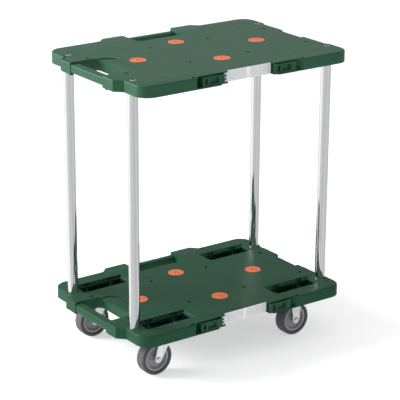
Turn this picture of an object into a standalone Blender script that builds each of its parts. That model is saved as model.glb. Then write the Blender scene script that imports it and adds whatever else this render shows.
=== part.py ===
"""Two-deck connectable trolley: two moulded decks, four tube posts, two swivel and two rigid casters.

Metres, +Z up. The origin is on the floor, under the middle of the trolley's outer box.
"""
import math

import bmesh
import bpy
from mathutils import Matrix, Vector

# Overall sizes
DECK_LENGTH = 0.590          # between the plain end faces
DECK_WIDTH = 0.410           # between the plain side faces
DECK_THICK = 0.028           # top face to the skirt's lower edge
LOWER_TOP = 0.129            # lower deck's top face above the floor
DECK_SPACING = 0.595         # top face to top face
GAP = 0.0003                 # clearance between touching pieces
PAST = 0.002                 # how far a cutting shape runs beyond the face that it cuts

# Deck moulding
CORNER_RADIUS = 0.034
EDGE_CHAMFER = 0.0025
SKIN = 0.0045
WALL = 0.0035
CELL_COLUMN = 0.1155
TONGUE_REACH = 0.018
TONGUE_WALL = 0.014          # solid wall round the tip of a tongue's block
LEFT_TONGUE_BASE = 0.129     # half width at the deck's edge
BACK_TONGUE_BASE = 0.148
TONGUE_CORNER = math.tan(math.radians(22.5))    # shift of a tongue's corner for an inset of 1
HOLE_RADIUS = 0.0026
HOLE_DEPTH = 0.006
HOLE_SPOTS = [(0.0835, 0.0815), (0.2575, 0.0820), (0.1550, 0.1975)]

# Finger openings and their grip bars
LEFT_OPENING_INNER = 0.239   # inner wall's distance from the deck's middle
LEFT_OPENING_HALF = 0.069
LEFT_GRIP_RADIUS = 0.011
LEFT_GRIP_DROP = 0.003       # grip's top below the deck's top face
BACK_OPENING_INNER = 0.1485
BACK_OPENING_HALF = 0.072
BACK_GRIP_RADIUS = 0.009
BACK_GRIP_DROP = 0.008
OPENING_CORNER = 0.014
OPENING_CORNER_STEPS = 3
GRIP_EMBED = 0.004
THUMB_REACH = 0.034
THUMB_HALF = 0.062
THUMB_DEPTH = 0.002
TAB_SIZE = (0.008, 0.008, 0.004)

# Female recesses and coupling latches
FRONT_MOUTH = 0.152          # half width at the deck's edge
RIGHT_MOUTH = 0.132
TOP_INSET = 0.009            # top skin's setback over the latches
PLATE_THICK = 0.003          # top skin and lower plate that hold a latch pin
LATCH_LENGTH = 0.060
LATCH_FRONT = -0.0015        # latch faces, measured outward from the deck's edge
LATCH_BACK = -0.0155
LATCH_END_GAP = 0.001
LATCH_Z_GAP = 0.0005
PIN_SETBACK = 0.0115          # latch a turns on a barrel beside its block
PIN_RADIUS = 0.002
PIN_TO_BLOCK = 0.007
FAR_PIN_SETBACK = 0.012      # latch b turns on a pin inside its block's far end
FAR_PIN_INSET = 0.004
FREE_END_GAP = 0.0014        # between latch b's free end and the open middle of the recess
BARREL_RADIUS = 0.0042
BARREL_WINDOW = 0.010
LUG_SETBACK = 0.007
LUG_PAST_BLOCK = 0.003       # how far the pin's lug reaches along the latch
WINDOW_DEPTH = 0.007
WINDOW_MARGIN = 0.0035       # latch wall above and below a window
BARREL_EMBED = 0.001
BARREL_STEPS = 5
WINDOWS = [(0.0055, 0.0135), (0.019, 0.044)]

# Wheel wells
WELL_X = 0.1895
WELL_Y = 0.1375
WELL_HALF = (0.0685, 0.0260)
WELL_RIM = 0.006
WELL_DEPTH = 0.020
WELL_FLOOR_HALF = 0.046
WELL_FLOOR = 0.004
SEAT_HALF = (0.0655, 0.0275)  # hollow under a well, for the caster's plate
NOTCH_X = 0.036
NOTCH_HALF = 0.005
NOTCH_HEAD_HALF = 0.010
NOTCH_HEAD_DEPTH = 0.007
NOTCH_NEAR = -0.008
CLIP_HALF = 0.004
CLIP_DROP = 0.012
COVER_THICK = 0.004
COVER_GAP = 0.00045

# Non-slip pads
PAD_RADIUS = 0.020
PAD_SEAT = 0.0022
PAD_PROUD = 0.0008
PAD_BEVEL = 0.0012
DIMPLE_RADII = (0.0030, 0.0045)    # floor and edge of the dimple in a pad's middle
DIMPLE_DEPTH = 0.001
PAD_SPOTS = [(-0.1715, 0), (0.1715, 0), (0, -0.0935), (0, 0.0935)]

# Posts and bolts
POST_X = 0.277
POST_Y = 0.1365
POST_RADIUS = 0.0127
POST_WALL = 0.0015
POST_PLUG = 0.012
LOWER_SOCKET = 0.016
UPPER_SOCKET_ROOF = 0.010
BOLT_RADIUS = 0.005
BOLT_HEAD_RADIUS = 0.0105
BOLT_HEAD_HEIGHT = 0.0045
BOLT_DOME = [(0.62, 0.86), (0.90, 0.55)]    # shares of the head's radius and height
BOLT_SEAT = 0.0032
BOLT_LENGTH = 0.016
HEX_RADIUS = 0.0035
HEX_DEPTH = 0.0027
FOOT_SEAT = 0.006

# Casters
WHEEL_RADIUS = 0.0415
TYRE_HALF = 0.0145
TYRE_INNER_BEVEL = (0.0030, 0.0015)    # radial step and sideways step
TYRE_SHOULDER = [(0.0020, 0.0008), (0.0, 0.0045)]    # steps in from the tread and from the side
CORE_RADIUS = 0.0315
CORE_RIM = [(0.006, 0.0040), (0.003, 0.0115)]    # step in from the core's edge, and half width
HUB_HALF = 0.0155
HUB_RADIUS = 0.0085
HUB_FOOT = (0.0095, 0.006)
AXLE_RADIUS = 0.004
LEG_INNER = 0.0165
LEG_THICK = 0.0025
LEG_TIP_RADIUS = 0.0092
LEG_TIP_STEPS = 6
RIGID_LEG_TOP = (-0.017, 0.017)
SWIVEL_LEG_TOP = (-0.0306, 0.0053)
AXLE_HEAD_RADIUS = 0.0056
AXLE_HEAD = 0.004
AXLE_HEAD_BEVEL = (0.8, 0.7)    # shares of the head's radius and length
TRAIL = 0.034
PLATE_HALF = (0.030, 0.025)
CASTER_PLATE = 0.0025
RACE_RADIUS = 0.021
RACE_HEIGHT = 0.0075
RACE_ROUND = (0.002, 0.003, 0.001)    # steps in at the top, down to the widest ring, in at the foot
CROWN_RADIUS = 0.022
CROWN_HEIGHT = 0.009
CROWN_ROUND = 0.003
CROWN_SKIN = 0.005           # crown above the room for the kingpin's nut
KINGPIN_RADIUS = 0.005
KINGPIN_NUT_RADIUS = 0.008
KINGPIN_NUT = 0.003
NUT_ROOM = 0.010

# Smoothness of round pieces
TYRE_SEGMENTS = 24
RACE_SEGMENTS = 20
CORE_SEGMENTS = 16
POST_SEGMENTS = 16
PAD_SEGMENTS = 16
BOLT_SEGMENTS = 10
PIN_SEGMENTS = 10
SMALL_SEGMENTS = 6
CORNER_STEPS = 5
SHARP_ANGLE = math.radians(40)

# Worked-out places
DECK_X = TONGUE_REACH / 2
DECK_Y = -TONGUE_REACH / 2
HALF_L = DECK_LENGTH / 2
HALF_W = DECK_WIDTH / 2
UPPER_TOP = LOWER_TOP + DECK_SPACING
PLATE_TOP = LOWER_TOP - WELL_DEPTH - WELL_FLOOR - GAP
DECK_TOPS = {"lower": LOWER_TOP, "upper": UPPER_TOP}
CORNERS = [("front_left", -1, -1), ("front_right", 1, -1), ("back_left", -1, 1), ("back_right", 1, 1)]

# Material colours: red, green, blue, roughness, metallic
FINISHES = {
    "deck_plastic": (0.020, 0.110, 0.050, 0.45, 0.0),
    "latch_plastic": (0.018, 0.095, 0.045, 0.45, 0.0),
    "pad_rubber": (0.90, 0.20, 0.08, 0.60, 0.0),
    "post_chrome": (0.85, 0.86, 0.88, 0.08, 1.0),
    "zinc_steel": (0.62, 0.64, 0.65, 0.30, 1.0),
    "tyre_rubber": (0.045, 0.045, 0.055, 0.70, 0.0),
    "core_plastic": (0.16, 0.15, 0.17, 0.50, 0.0),
}


def clear_scene():
    for old in list(bpy.data.objects):
        bpy.data.objects.remove(old, do_unlink=True)


def finish(name):
    material = bpy.data.materials.get(name)
    if material is None:
        red, green, blue, rough, metal = FINISHES[name]
        material = bpy.data.materials.new(name)
        material.use_nodes = True
        shader = material.node_tree.nodes["Principled BSDF"]
        shader.inputs["Base Color"].default_value = (red, green, blue, 1.0)
        shader.inputs["Roughness"].default_value = rough
        shader.inputs["Metallic"].default_value = metal
    return material


def add_object(name, mesh, finish_name=None, location=(0, 0, 0)):
    thing = bpy.data.objects.new(name, mesh)
    thing.location = location
    bpy.context.scene.collection.objects.link(thing)
    if finish_name:
        mesh.materials.append(finish(finish_name))
    return thing


def mesh_from(bm, name):
    bmesh.ops.recalc_face_normals(bm, faces=bm.faces)
    mesh = bpy.data.meshes.new(name)
    bm.to_mesh(mesh)
    bm.free()
    return mesh


def smooth(mesh):
    mesh.shade_smooth()
    mesh.set_sharp_from_angle(angle=SHARP_ANGLE)


def add_prism(bm, outline, low, high, axis="Z"):
    """Extrude a closed outline between two heights. The axis names the direction of extrusion."""
    turn = {"Z": Matrix.Identity(3),
            "Y": Matrix(((1, 0, 0), (0, 0, 1), (0, 1, 0)))}[axis]
    rings = []
    for height in (low, high):
        rings.append([bm.verts.new(turn @ Vector((u, v, height))) for u, v in outline])
    bm.faces.new(rings[0][::-1])
    bm.faces.new(rings[1])
    count = len(outline)
    for i in range(count):
        j = (i + 1) % count
        bm.faces.new((rings[0][i], rings[0][j], rings[1][j], rings[1][i]))


def add_box(bm, low, high):
    outline = [(low[0], low[1]), (high[0], low[1]), (high[0], high[1]), (low[0], high[1])]
    add_prism(bm, outline, low[2], high[2])


def circle(radius, segments, centre=(0, 0)):
    step = 2 * math.pi / segments
    return [(centre[0] + radius * math.cos(step * (i + 0.5)),
             centre[1] + radius * math.sin(step * (i + 0.5))) for i in range(segments)]


def arc(centre, radius, start, stop, steps):
    points = []
    for i in range(steps + 1):
        angle = math.radians(start + (stop - start) * i / steps)
        points.append((centre[0] + radius * math.cos(angle), centre[1] + radius * math.sin(angle)))
    return points


def turned(name, profile, segments, axis="Z", closed=True):
    """Turn a profile of (radius, height) about an axis. A point at radius 0 closes an end."""
    bm = bmesh.new()
    rings = []
    for radius, height in profile:
        if radius == 0:
            rings.append([bm.verts.new((0, 0, height))])
        else:
            rings.append([bm.verts.new((u, v, height)) for u, v in circle(radius, segments)])
    pairs = list(zip(rings, rings[1:]))
    if closed:
        pairs.append((rings[-1], rings[0]))
    for first, second in pairs:
        for i in range(segments):
            j = (i + 1) % segments
            if len(first) == 1:
                bm.faces.new((first[0], second[j], second[i]))
            elif len(second) == 1:
                bm.faces.new((first[i], first[j], second[0]))
            else:
                bm.faces.new((first[i], first[j], second[j], second[i]))
    if axis == "Y":
        bmesh.ops.rotate(bm, verts=bm.verts, matrix=Matrix.Rotation(math.radians(-90), 3, "X"))
    mesh = mesh_from(bm, name)
    smooth(mesh)
    return mesh


def boolean(target, name, bm, operation="DIFFERENCE"):
    """Cut or join a guide shape, which stays in the file as a hidden wire object."""
    tool = add_object(target.name + "_" + name, mesh_from(bm, name), location=target.location)
    tool.hide_render = True
    tool.display_type = "WIRE"
    step = target.modifiers.new(name, "BOOLEAN")
    step.operation = operation
    step.solver = "EXACT"
    step.object = tool


# Decks

def deck_outline(inset=0.0):
    """Rounded rectangle with a male tongue on the left end and on the back side."""
    half_l, half_w = HALF_L - inset, HALF_W - inset
    radius = CORNER_RADIUS - inset
    cx, cy = HALF_L - CORNER_RADIUS, HALF_W - CORNER_RADIUS
    slope = inset * TONGUE_CORNER
    points = arc((cx, -cy), radius, -90, 0, CORNER_STEPS) + arc((cx, cy), radius, 0, 90, CORNER_STEPS)
    base, tip = BACK_TONGUE_BASE - slope, BACK_TONGUE_BASE - TONGUE_REACH - slope
    points += [(base, half_w), (tip, half_w + TONGUE_REACH), (-tip, half_w + TONGUE_REACH), (-base, half_w)]
    points += arc((-cx, cy), radius, 90, 180, CORNER_STEPS)
    base, tip = LEFT_TONGUE_BASE - slope, LEFT_TONGUE_BASE - TONGUE_REACH - slope
    points += [(-half_l, base), (-half_l - TONGUE_REACH, tip),
               (-half_l - TONGUE_REACH, -tip), (-half_l, -base)]
    points += arc((-cx, -cy), radius, 180, 270, CORNER_STEPS)
    return points


def deck_body(name):
    bm = bmesh.new()
    levels = [(0.0, -DECK_THICK), (0.0, -EDGE_CHAMFER), (EDGE_CHAMFER, 0.0)]
    rings = [[bm.verts.new((x, y, z)) for x, y in deck_outline(inset)] for inset, z in levels]
    count = len(rings[0])
    for low, high in zip(rings, rings[1:]):
        for i in range(count):
            j = (i + 1) % count
            bm.faces.new((low[i], low[j], high[j], high[i]))
    bm.faces.new(rings[0][::-1])
    bm.faces.new(rings[-1])
    return mesh_from(bm, name)


def recess_sides():
    """The two female recesses: mouth half width and a map from (along, outward) to deck x, y."""
    return [("front", FRONT_MOUTH, lambda along, out: (along, -HALF_W - out)),
            ("right", RIGHT_MOUTH, lambda along, out: (HALF_L + out, along))]


def latch_span(mouth):
    """Near and far ends of a latch's block, as distances from the recess's middle."""
    far = mouth - TONGUE_REACH - LATCH_END_GAP
    return far - LATCH_LENGTH, far


def hinge(mouth, side):
    """Latch a's pin stands beside its block's near end, and latch b's pin inside the far end."""
    near, far = latch_span(mouth)
    if side < 0:
        return near - PIN_TO_BLOCK, PIN_SETBACK
    return far - FAR_PIN_INSET, FAR_PIN_SETBACK


def middle_end(mouth, side):
    """Where the open middle of a recess ends on one side."""
    near, _ = latch_span(mouth)
    return near - 2 * PIN_TO_BLOCK if side < 0 else near - FREE_END_GAP


def cut_recesses(deck):
    """Open middle, setback of the top skin, latch niches, and the trimmed lower plate."""
    middle, top, niche, lower = (bmesh.new() for _ in range(4))
    for _, mouth, place in recess_sides():
        low, high = -middle_end(mouth, -1), middle_end(mouth, 1)
        shape = [(low, -TONGUE_REACH), (high, -TONGUE_REACH), (high, PAST), (low, PAST)]
        add_prism(middle, [place(*p) for p in shape], -DECK_THICK - PAST, PAST)
        for side in (-1, 1):
            near = middle_end(mouth, side) - PAST / 2
            shape = [(near, -TOP_INSET), (mouth - TOP_INSET, -TOP_INSET),
                     (mouth + PAST, PAST), (near, PAST)]
            add_prism(top, [place(side * u, v) for u, v in shape], -PLATE_THICK, PAST)
            shape = [(near, -TONGUE_REACH), (mouth - TONGUE_REACH, -TONGUE_REACH),
                     (mouth + PAST, PAST), (near, PAST)]
            add_prism(niche, [place(side * u, v) for u, v in shape],
                      -DECK_THICK + PLATE_THICK, -PLATE_THICK + PAST / 4)
            lug = latch_span(mouth)[0] + LUG_PAST_BLOCK
            shape = [(near, -LUG_SETBACK), (lug, -LUG_SETBACK),
                     (lug + LUG_SETBACK + PAST, PAST), (near, PAST)]
            add_prism(lower, [place(side * u, v) for u, v in shape],
                      -DECK_THICK - PAST, -DECK_THICK + PLATE_THICK + PAST / 4)
    boolean(deck, "recess", middle)
    boolean(deck, "top_setback", top)
    boolean(deck, "latch_niche", niche)
    boolean(deck, "lower_trim", lower)


def rounded_opening(inner, half, outer):
    """Outline in (depth, along): two round corners at the inner wall, open past the outer edge."""
    r, steps = OPENING_CORNER, OPENING_CORNER_STEPS
    return (arc((inner + r, half - r), r, 90, 180, steps) + arc((inner + r, -half + r), r, 180, 270, steps)
            + [(outer, -half), (outer, half)])


def cut_openings(deck):
    bm = bmesh.new()
    outline = rounded_opening(LEFT_OPENING_INNER, LEFT_OPENING_HALF, HALF_L + TONGUE_REACH + PAST)
    add_prism(bm, [(-u, v) for u, v in outline], -DECK_THICK - PAST, PAST)
    outline = rounded_opening(BACK_OPENING_INNER, BACK_OPENING_HALF, HALF_W + TONGUE_REACH + PAST)
    add_prism(bm, [(v, u) for u, v in outline], -DECK_THICK - PAST, PAST)
    boolean(deck, "finger_openings", bm)
    bm = bmesh.new()
    low, r, edge = LEFT_OPENING_INNER - THUMB_REACH, THUMB_REACH / 2, LEFT_OPENING_INNER + PAST
    outline = [(-low, THUMB_HALF - r), (-low - r, THUMB_HALF), (-edge, THUMB_HALF),
               (-edge, -THUMB_HALF), (-low - r, -THUMB_HALF), (-low, -THUMB_HALF + r)]
    add_prism(bm, outline, -THUMB_DEPTH, PAST)
    boolean(deck, "thumb_recess", bm)


def add_grips(deck):
    """Round grip bars across the openings, and the small hook tabs under the tongues."""
    bm = bmesh.new()
    bars = [("X", -HALF_L - TONGUE_REACH + LEFT_GRIP_RADIUS, LEFT_GRIP_DROP, LEFT_GRIP_RADIUS,
             LEFT_OPENING_HALF),
            ("Y", HALF_W + TONGUE_REACH - BACK_GRIP_RADIUS, BACK_GRIP_DROP, BACK_GRIP_RADIUS,
             BACK_OPENING_HALF)]
    for axis, place, drop, radius, half in bars:
        reach = half + GRIP_EMBED
        section = circle(radius, BOLT_SEGMENTS, (place, -drop - radius))
        rings = []
        for end in (-reach, reach):
            if axis == "X":
                rings.append([bm.verts.new((u, end, v)) for u, v in section])
            else:
                rings.append([bm.verts.new((end, u, v)) for u, v in section])
        bm.faces.new(rings[0])
        bm.faces.new(rings[1][::-1])
        for i in range(BOLT_SEGMENTS):
            j = (i + 1) % BOLT_SEGMENTS
            bm.faces.new((rings[0][i], rings[0][j], rings[1][j], rings[1][i]))
        for side in (-1, 1):
            along = side * (half + TAB_SIZE[0])
            depth = math.copysign(HALF_L if axis == "X" else HALF_W, place)
            depth += math.copysign(TONGUE_REACH - TAB_SIZE[1], place)
            x, y = (depth, along) if axis == "X" else (along, depth)
            u, v, w = TAB_SIZE[0] / 2, TAB_SIZE[1] / 2, TAB_SIZE[2]
            add_box(bm, (x - u, y - v, -DECK_THICK - w), (x + u, y + v, -DECK_THICK + w / 2))
    boolean(deck, "grips", bm, "UNION")


def well_places():
    return [(sx * WELL_X, sy * WELL_Y) for _, sx, sy in CORNERS]


def cut_wells(deck):
    """Sloping rim, ramped pocket, and two T-shaped clip notches at each wheel well."""
    half_x, half_y = WELL_HALF
    rims, pockets, notches, heads = (bmesh.new() for _ in range(4))
    for x, y in well_places():
        levels = [(WELL_RIM, -WELL_RIM), (-PAST, PAST)]
        rings = []
        for inset, z in levels:
            u, v = half_x - inset, half_y - inset
            rings.append([rims.verts.new((x + a * u, y + b * v, z))
                          for a, b in ((-1, -1), (1, -1), (1, 1), (-1, 1))])
        rims.faces.new(rings[0][::-1])
        rims.faces.new(rings[1])
        for i in range(4):
            j = (i + 1) % 4
            rims.faces.new((rings[0][i], rings[0][j], rings[1][j], rings[1][i]))
        top, high, low = half_x - WELL_RIM - PAST / 4, -WELL_RIM + PAST / 4, -WELL_RIM - PAST
        ramp = [(x - top, high), (x - top, low), (x - WELL_FLOOR_HALF, -WELL_DEPTH),
                (x + WELL_FLOOR_HALF, -WELL_DEPTH), (x + top, low), (x + top, high)]
        side = half_y - WELL_RIM - PAST / 4
        add_prism(pockets, ramp, y - side, y + side, axis="Y")
        for notch in (x - NOTCH_X, x + NOTCH_X):
            add_box(notches, (notch - NOTCH_HALF, y + NOTCH_NEAR, -DECK_THICK - PAST),
                    (notch + NOTCH_HALF, y + half_y, PAST))
            add_box(heads, (notch - NOTCH_HEAD_HALF, y + half_y - WELL_RIM - PAST, -NOTCH_HEAD_DEPTH),
                    (notch + NOTCH_HEAD_HALF, y + half_y - PAST / 4, PAST))
    boolean(deck, "well_rims", rims)
    boolean(deck, "well_pockets", pockets)
    boolean(deck, "well_notches", notches)
    boolean(deck, "notch_heads", heads)
    seats = bmesh.new()
    for x, y in well_places():
        add_box(seats, (x - SEAT_HALF[0], y - SEAT_HALF[1], -DECK_THICK - PAST),
                (x + SEAT_HALF[0], y + SEAT_HALF[1], -WELL_DEPTH - WELL_FLOOR))
    boolean(deck, "caster_seats", seats)


def cell_boxes():
    """Hollow cells between the ribs under the skin, as (x low, x high, y low, y high)."""
    rib = WALL / 2
    edge = LEFT_OPENING_INNER - WALL
    row = WELL_Y - WELL_HALF[1] - WALL - rib
    columns = [-edge - rib, -CELL_COLUMN, 0.0, CELL_COLUMN, edge + rib]
    rows = [-row, -row / 2, 0.0, row / 2, row]
    cells = [(x0 + rib, x1 - rib, y0 + rib, y1 - rib)
             for x0, x1 in zip(columns, columns[1:]) for y0, y1 in zip(rows, rows[1:])]
    front, back = HALF_W - TONGUE_REACH - WALL, BACK_OPENING_INNER - WALL
    for x0, x1 in zip(columns[1:-1], columns[2:-1]):
        cells.append((x0 + rib, x1 - rib, -front, -row - rib))
        cells.append((x0 + rib, x1 - rib, row + rib, back))
    beyond, plain = WELL_Y + WELL_HALF[1] + WALL, HALF_W - WALL
    spans = [(FRONT_MOUTH + WALL, WELL_X - rib), (WELL_X + rib, WELL_X + WELL_HALF[0] - WALL)]
    block_y, block_x = LEFT_OPENING_HALF + WALL, BACK_OPENING_HALF + WALL
    for side in (-1, 1):
        for x0, x1 in spans:
            x0, x1 = sorted((side * x0, side * x1))
            cells += [(x0, x1, -plain, -beyond), (x0, x1, beyond, plain)]
        y0, y1 = sorted((side * block_y, side * (row - rib)))
        cells.append((-HALF_L - TONGUE_REACH + TONGUE_WALL, columns[0] - rib, y0, y1))
        x0, x1 = sorted((side * block_x, side * (columns[-2] - rib)))
        cells.append((x0, x1, back + WALL, HALF_W + TONGUE_REACH - TONGUE_WALL))
        y0, y1 = sorted((side * rib, side * (row / 2 - rib)))
        cells.append((columns[-1] + rib, HALF_L - TONGUE_REACH - WALL, y0, y1))
    return cells


def cut_cells(deck):
    bm = bmesh.new()
    for x0, x1, y0, y1 in cell_boxes():
        add_box(bm, (x0, y0, -DECK_THICK - PAST), (x1, y1, -SKIN))
    boolean(deck, "cells", bm)


def cut_round(deck, name, spots, radius, low, high, segments):
    bm = bmesh.new()
    for x, y in spots:
        add_prism(bm, circle(radius, segments, (x, y)), low, high)
    boolean(deck, name, bm)


def build_deck(name, top, upper):
    deck = add_object(name, deck_body(name), "deck_plastic", (DECK_X, DECK_Y, top))
    cut_openings(deck)
    cut_recesses(deck)
    add_grips(deck)
    cut_wells(deck)
    cut_cells(deck)
    holes = [(sx * x, sy * y) for x, y in HOLE_SPOTS for _, sx, sy in CORNERS]
    cut_round(deck, "holes", holes, HOLE_RADIUS, -HOLE_DEPTH, PAST, SMALL_SEGMENTS)
    cut_round(deck, "pad_seats", PAD_SPOTS, PAD_RADIUS + GAP, -PAD_SEAT, PAST, PAD_SEGMENTS)
    posts = [(sx * POST_X, sy * POST_Y) for _, sx, sy in CORNERS]
    tube, bore, head = POST_RADIUS + GAP, BOLT_RADIUS + GAP, BOLT_HEAD_RADIUS + GAP
    below = -DECK_THICK - PAST
    if upper:
        cut_round(deck, "sockets", posts, tube, below, -UPPER_SOCKET_ROOF, POST_SEGMENTS)
        cut_round(deck, "bolt_holes", posts, bore, -UPPER_SOCKET_ROOF - PAST, PAST, BOLT_SEGMENTS)
        cut_round(deck, "bolt_seats", posts, head, -BOLT_SEAT, PAST, BOLT_SEGMENTS)
    else:
        cut_round(deck, "sockets", posts, tube, -LOWER_SOCKET, PAST, POST_SEGMENTS)
        cut_round(deck, "bolt_holes", posts, bore, below, -LOWER_SOCKET + PAST, BOLT_SEGMENTS)
        cut_round(deck, "bolt_seats", posts, head, below, -DECK_THICK + FOOT_SEAT, BOLT_SEGMENTS)
    pins = []
    for _, mouth, place in recess_sides():
        for side in (-1, 1):
            along, setback = hinge(mouth, side)
            pins.append(place(side * along, -setback))
    cut_round(deck, "pin_holes", pins, PIN_RADIUS + GAP, below, -PLATE_THICK / 2, PIN_SEGMENTS)


def build_cover(name, x, y, top):
    """Plug that fills a well's sloping rim, with two clips down the notches."""
    half_x, half_y = WELL_HALF[0] - COVER_GAP, WELL_HALF[1] - COVER_GAP
    bm = bmesh.new()
    rings = []
    for inset, z in ((COVER_THICK, -COVER_THICK), (0.0, 0.0)):
        rings.append([bm.verts.new((a * (half_x - inset), b * (half_y - inset), z))
                      for a, b in ((-1, -1), (1, -1), (1, 1), (-1, 1))])
    bm.faces.new(rings[0][::-1])
    bm.faces.new(rings[1])
    for i in range(4):
        j = (i + 1) % 4
        bm.faces.new((rings[0][i], rings[0][j], rings[1][j], rings[1][i]))
    cover = add_object(name, mesh_from(bm, name), "deck_plastic", (x, y, top))
    clips = bmesh.new()
    far = half_y - WELL_RIM
    for offset in (-NOTCH_X, NOTCH_X):
        add_box(clips, (offset - CLIP_HALF, far - WELL_RIM, -CLIP_DROP),
                (offset + CLIP_HALF, far, -COVER_THICK / 2))
    boolean(cover, "clips", clips, "UNION")


def build_pads():
    floor, edge = DIMPLE_RADII
    profile = [(0.0, PAD_PROUD - DIMPLE_DEPTH), (floor, PAD_PROUD - DIMPLE_DEPTH), (edge, PAD_PROUD),
               (PAD_RADIUS - PAD_BEVEL, PAD_PROUD), (PAD_RADIUS, 0.0), (PAD_RADIUS, GAP - PAD_SEAT),
               (0.0, GAP - PAD_SEAT)]
    mesh = turned("pad", profile, PAD_SEGMENTS, closed=False)
    mesh.materials.append(finish("pad_rubber"))
    words = ["left", "right", "front", "back"]
    for deck, top in DECK_TOPS.items():
        for word, (x, y) in zip(words, PAD_SPOTS):
            add_object(f"pad_{deck}_{word}", mesh, location=(DECK_X + x, DECK_Y + y, top))


def build_posts():
    low = LOWER_TOP - LOWER_SOCKET + GAP
    high = UPPER_TOP - UPPER_SOCKET_ROOF - GAP
    bore, inner = BOLT_RADIUS + GAP, POST_RADIUS - POST_WALL
    profile = [(bore, low), (POST_RADIUS, low), (POST_RADIUS, high), (bore, high),
               (bore, high - POST_PLUG), (inner, high - POST_PLUG), (inner, low + POST_PLUG),
               (bore, low + POST_PLUG)]
    mesh = turned("post", profile, POST_SEGMENTS)
    mesh.materials.append(finish("post_chrome"))
    for word, sx, sy in CORNERS:
        add_object(f"post_{word}", mesh, location=(DECK_X + sx * POST_X, DECK_Y + sy * POST_Y, 0))


def build_bolts():
    """Dome-headed bolts from above, and the same bolts turned over from below."""
    head, height, floor = BOLT_HEAD_RADIUS, BOLT_HEAD_HEIGHT, BOLT_HEAD_HEIGHT - HEX_DEPTH
    profile = [(0.0, floor), (HEX_RADIUS, floor), (HEX_RADIUS, height)]
    profile += [(head * across, height * up) for across, up in BOLT_DOME]
    profile += [(head, GAP), (BOLT_RADIUS, GAP), (BOLT_RADIUS, -BOLT_LENGTH), (0.0, -BOLT_LENGTH)]
    mesh = turned("bolt", profile, BOLT_SEGMENTS, closed=False)
    mesh.materials.append(finish("post_chrome"))
    for word, sx, sy in CORNERS:
        x, y = DECK_X + sx * POST_X, DECK_Y + sy * POST_Y
        add_object(f"top_bolt_{word}", mesh, location=(x, y, UPPER_TOP - BOLT_SEAT))
        foot = add_object(f"foot_bolt_{word}", mesh, location=(x, y, LOWER_TOP - DECK_THICK + FOOT_SEAT))
        foot.rotation_euler = (math.pi, 0, 0)


# Coupling latches

def build_latch(deck, side_name, word, mouth, place, side, top):
    """Block with two finger windows, which turns on its pin. The origin is on the pin's axis."""
    pin, setback = hinge(mouth, side)
    pivot = place(side * pin, -setback)
    low, high = -DECK_THICK + PLATE_THICK + LATCH_Z_GAP, -PLATE_THICK - LATCH_Z_GAP
    near, far = latch_span(mouth)

    def local(along, out):
        x, y = place(side * along, out)
        return (x - pivot[0], y - pivot[1])

    bm = bmesh.new()
    block = [(near, LATCH_FRONT), (far, LATCH_FRONT), (far, LATCH_BACK), (near, LATCH_BACK)]
    add_prism(bm, [local(*p) for p in block], low, high)
    name = f"latch_{deck}_{side_name}_{word}"
    origin = (DECK_X + pivot[0], DECK_Y + pivot[1], top)
    latch = add_object(name, mesh_from(bm, name), "latch_plastic", origin)
    if side < 0:
        barrels = bmesh.new()
        middle = (low + high) / 2
        for z0, z1 in ((low, middle - BARREL_WINDOW / 2), (middle + BARREL_WINDOW / 2, high)):
            arm = arc((pin, -setback), BARREL_RADIUS, 90, 270, BARREL_STEPS)
            arm += [(near + BARREL_EMBED, -setback - BARREL_RADIUS),
                    (near + BARREL_EMBED, -setback + BARREL_RADIUS)]
            add_prism(barrels, [local(*p) for p in arm], z0, z1)
        boolean(latch, "barrel", barrels, "UNION")
    bore = bmesh.new()
    add_prism(bore, circle(PIN_RADIUS + GAP, PIN_SEGMENTS), low - PAST, high + PAST)
    boolean(latch, "bore", bore)
    windows = bmesh.new()
    for start, stop in WINDOWS:    # both latches of a recess have them in the same order along it
        u0, u1 = (far - start, far - stop) if side < 0 else (near + start, near + stop)
        shape = [(u0, LATCH_FRONT + PAST), (u1, LATCH_FRONT + PAST),
                 (u1, LATCH_FRONT - WINDOW_DEPTH), (u0, LATCH_FRONT - WINDOW_DEPTH)]
        add_prism(windows, [local(*p) for p in shape], low + WINDOW_MARGIN, high - WINDOW_MARGIN)
    boolean(latch, "windows", windows)
    return origin


def build_latches():
    pin_low, pin_high = -DECK_THICK + GAP, -PLATE_THICK / 2 - GAP
    profile = [(0.0, pin_high), (PIN_RADIUS, pin_high), (PIN_RADIUS, pin_low), (0.0, pin_low)]
    pin_mesh = turned("latch_pin", profile, PIN_SEGMENTS, closed=False)
    pin_mesh.materials.append(finish("zinc_steel"))
    for deck, top in DECK_TOPS.items():
        for side_name, mouth, place in recess_sides():
            for side, word in ((-1, "a"), (1, "b")):
                origin = build_latch(deck, side_name, word, mouth, place, side, top)
                add_object(f"latch_pin_{deck}_{side_name}_{word}", pin_mesh, location=origin)


# Casters

def leg_outline(top, top_z, tip_x, tip_z, radius):
    """Side view of a fork leg: a wide top and a round tip at the axle."""
    top_low, top_high = top

    def tangent(px, pz, turn):
        away = math.atan2(pz - tip_z, px - tip_x)
        spread = math.acos(radius / math.hypot(px - tip_x, pz - tip_z))
        return math.degrees(away + turn * spread)

    start, stop = tangent(top_high, top_z, -1), tangent(top_low, top_z, 1)
    tip = arc((tip_x, tip_z), radius, start, stop - 360, LEG_TIP_STEPS)
    return [(top_low, top_z), (top_high, top_z)] + tip


def add_legs(thing, outline):
    legs = bmesh.new()
    for side in (-1, 1):
        y0, y1 = sorted((side * LEG_INNER, side * (LEG_INNER + LEG_THICK)))
        add_prism(legs, outline, y0, y1, axis="Y")
    boolean(thing, "legs", legs, "UNION")


def bore_legs(thing, x, z):
    bore = bmesh.new()
    reach = LEG_INNER + LEG_THICK + PAST
    add_prism(bore, circle(AXLE_RADIUS + GAP, BOLT_SEGMENTS, (x, z)), -reach, reach, axis="Y")
    boolean(thing, "axle_bore", bore)


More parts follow.
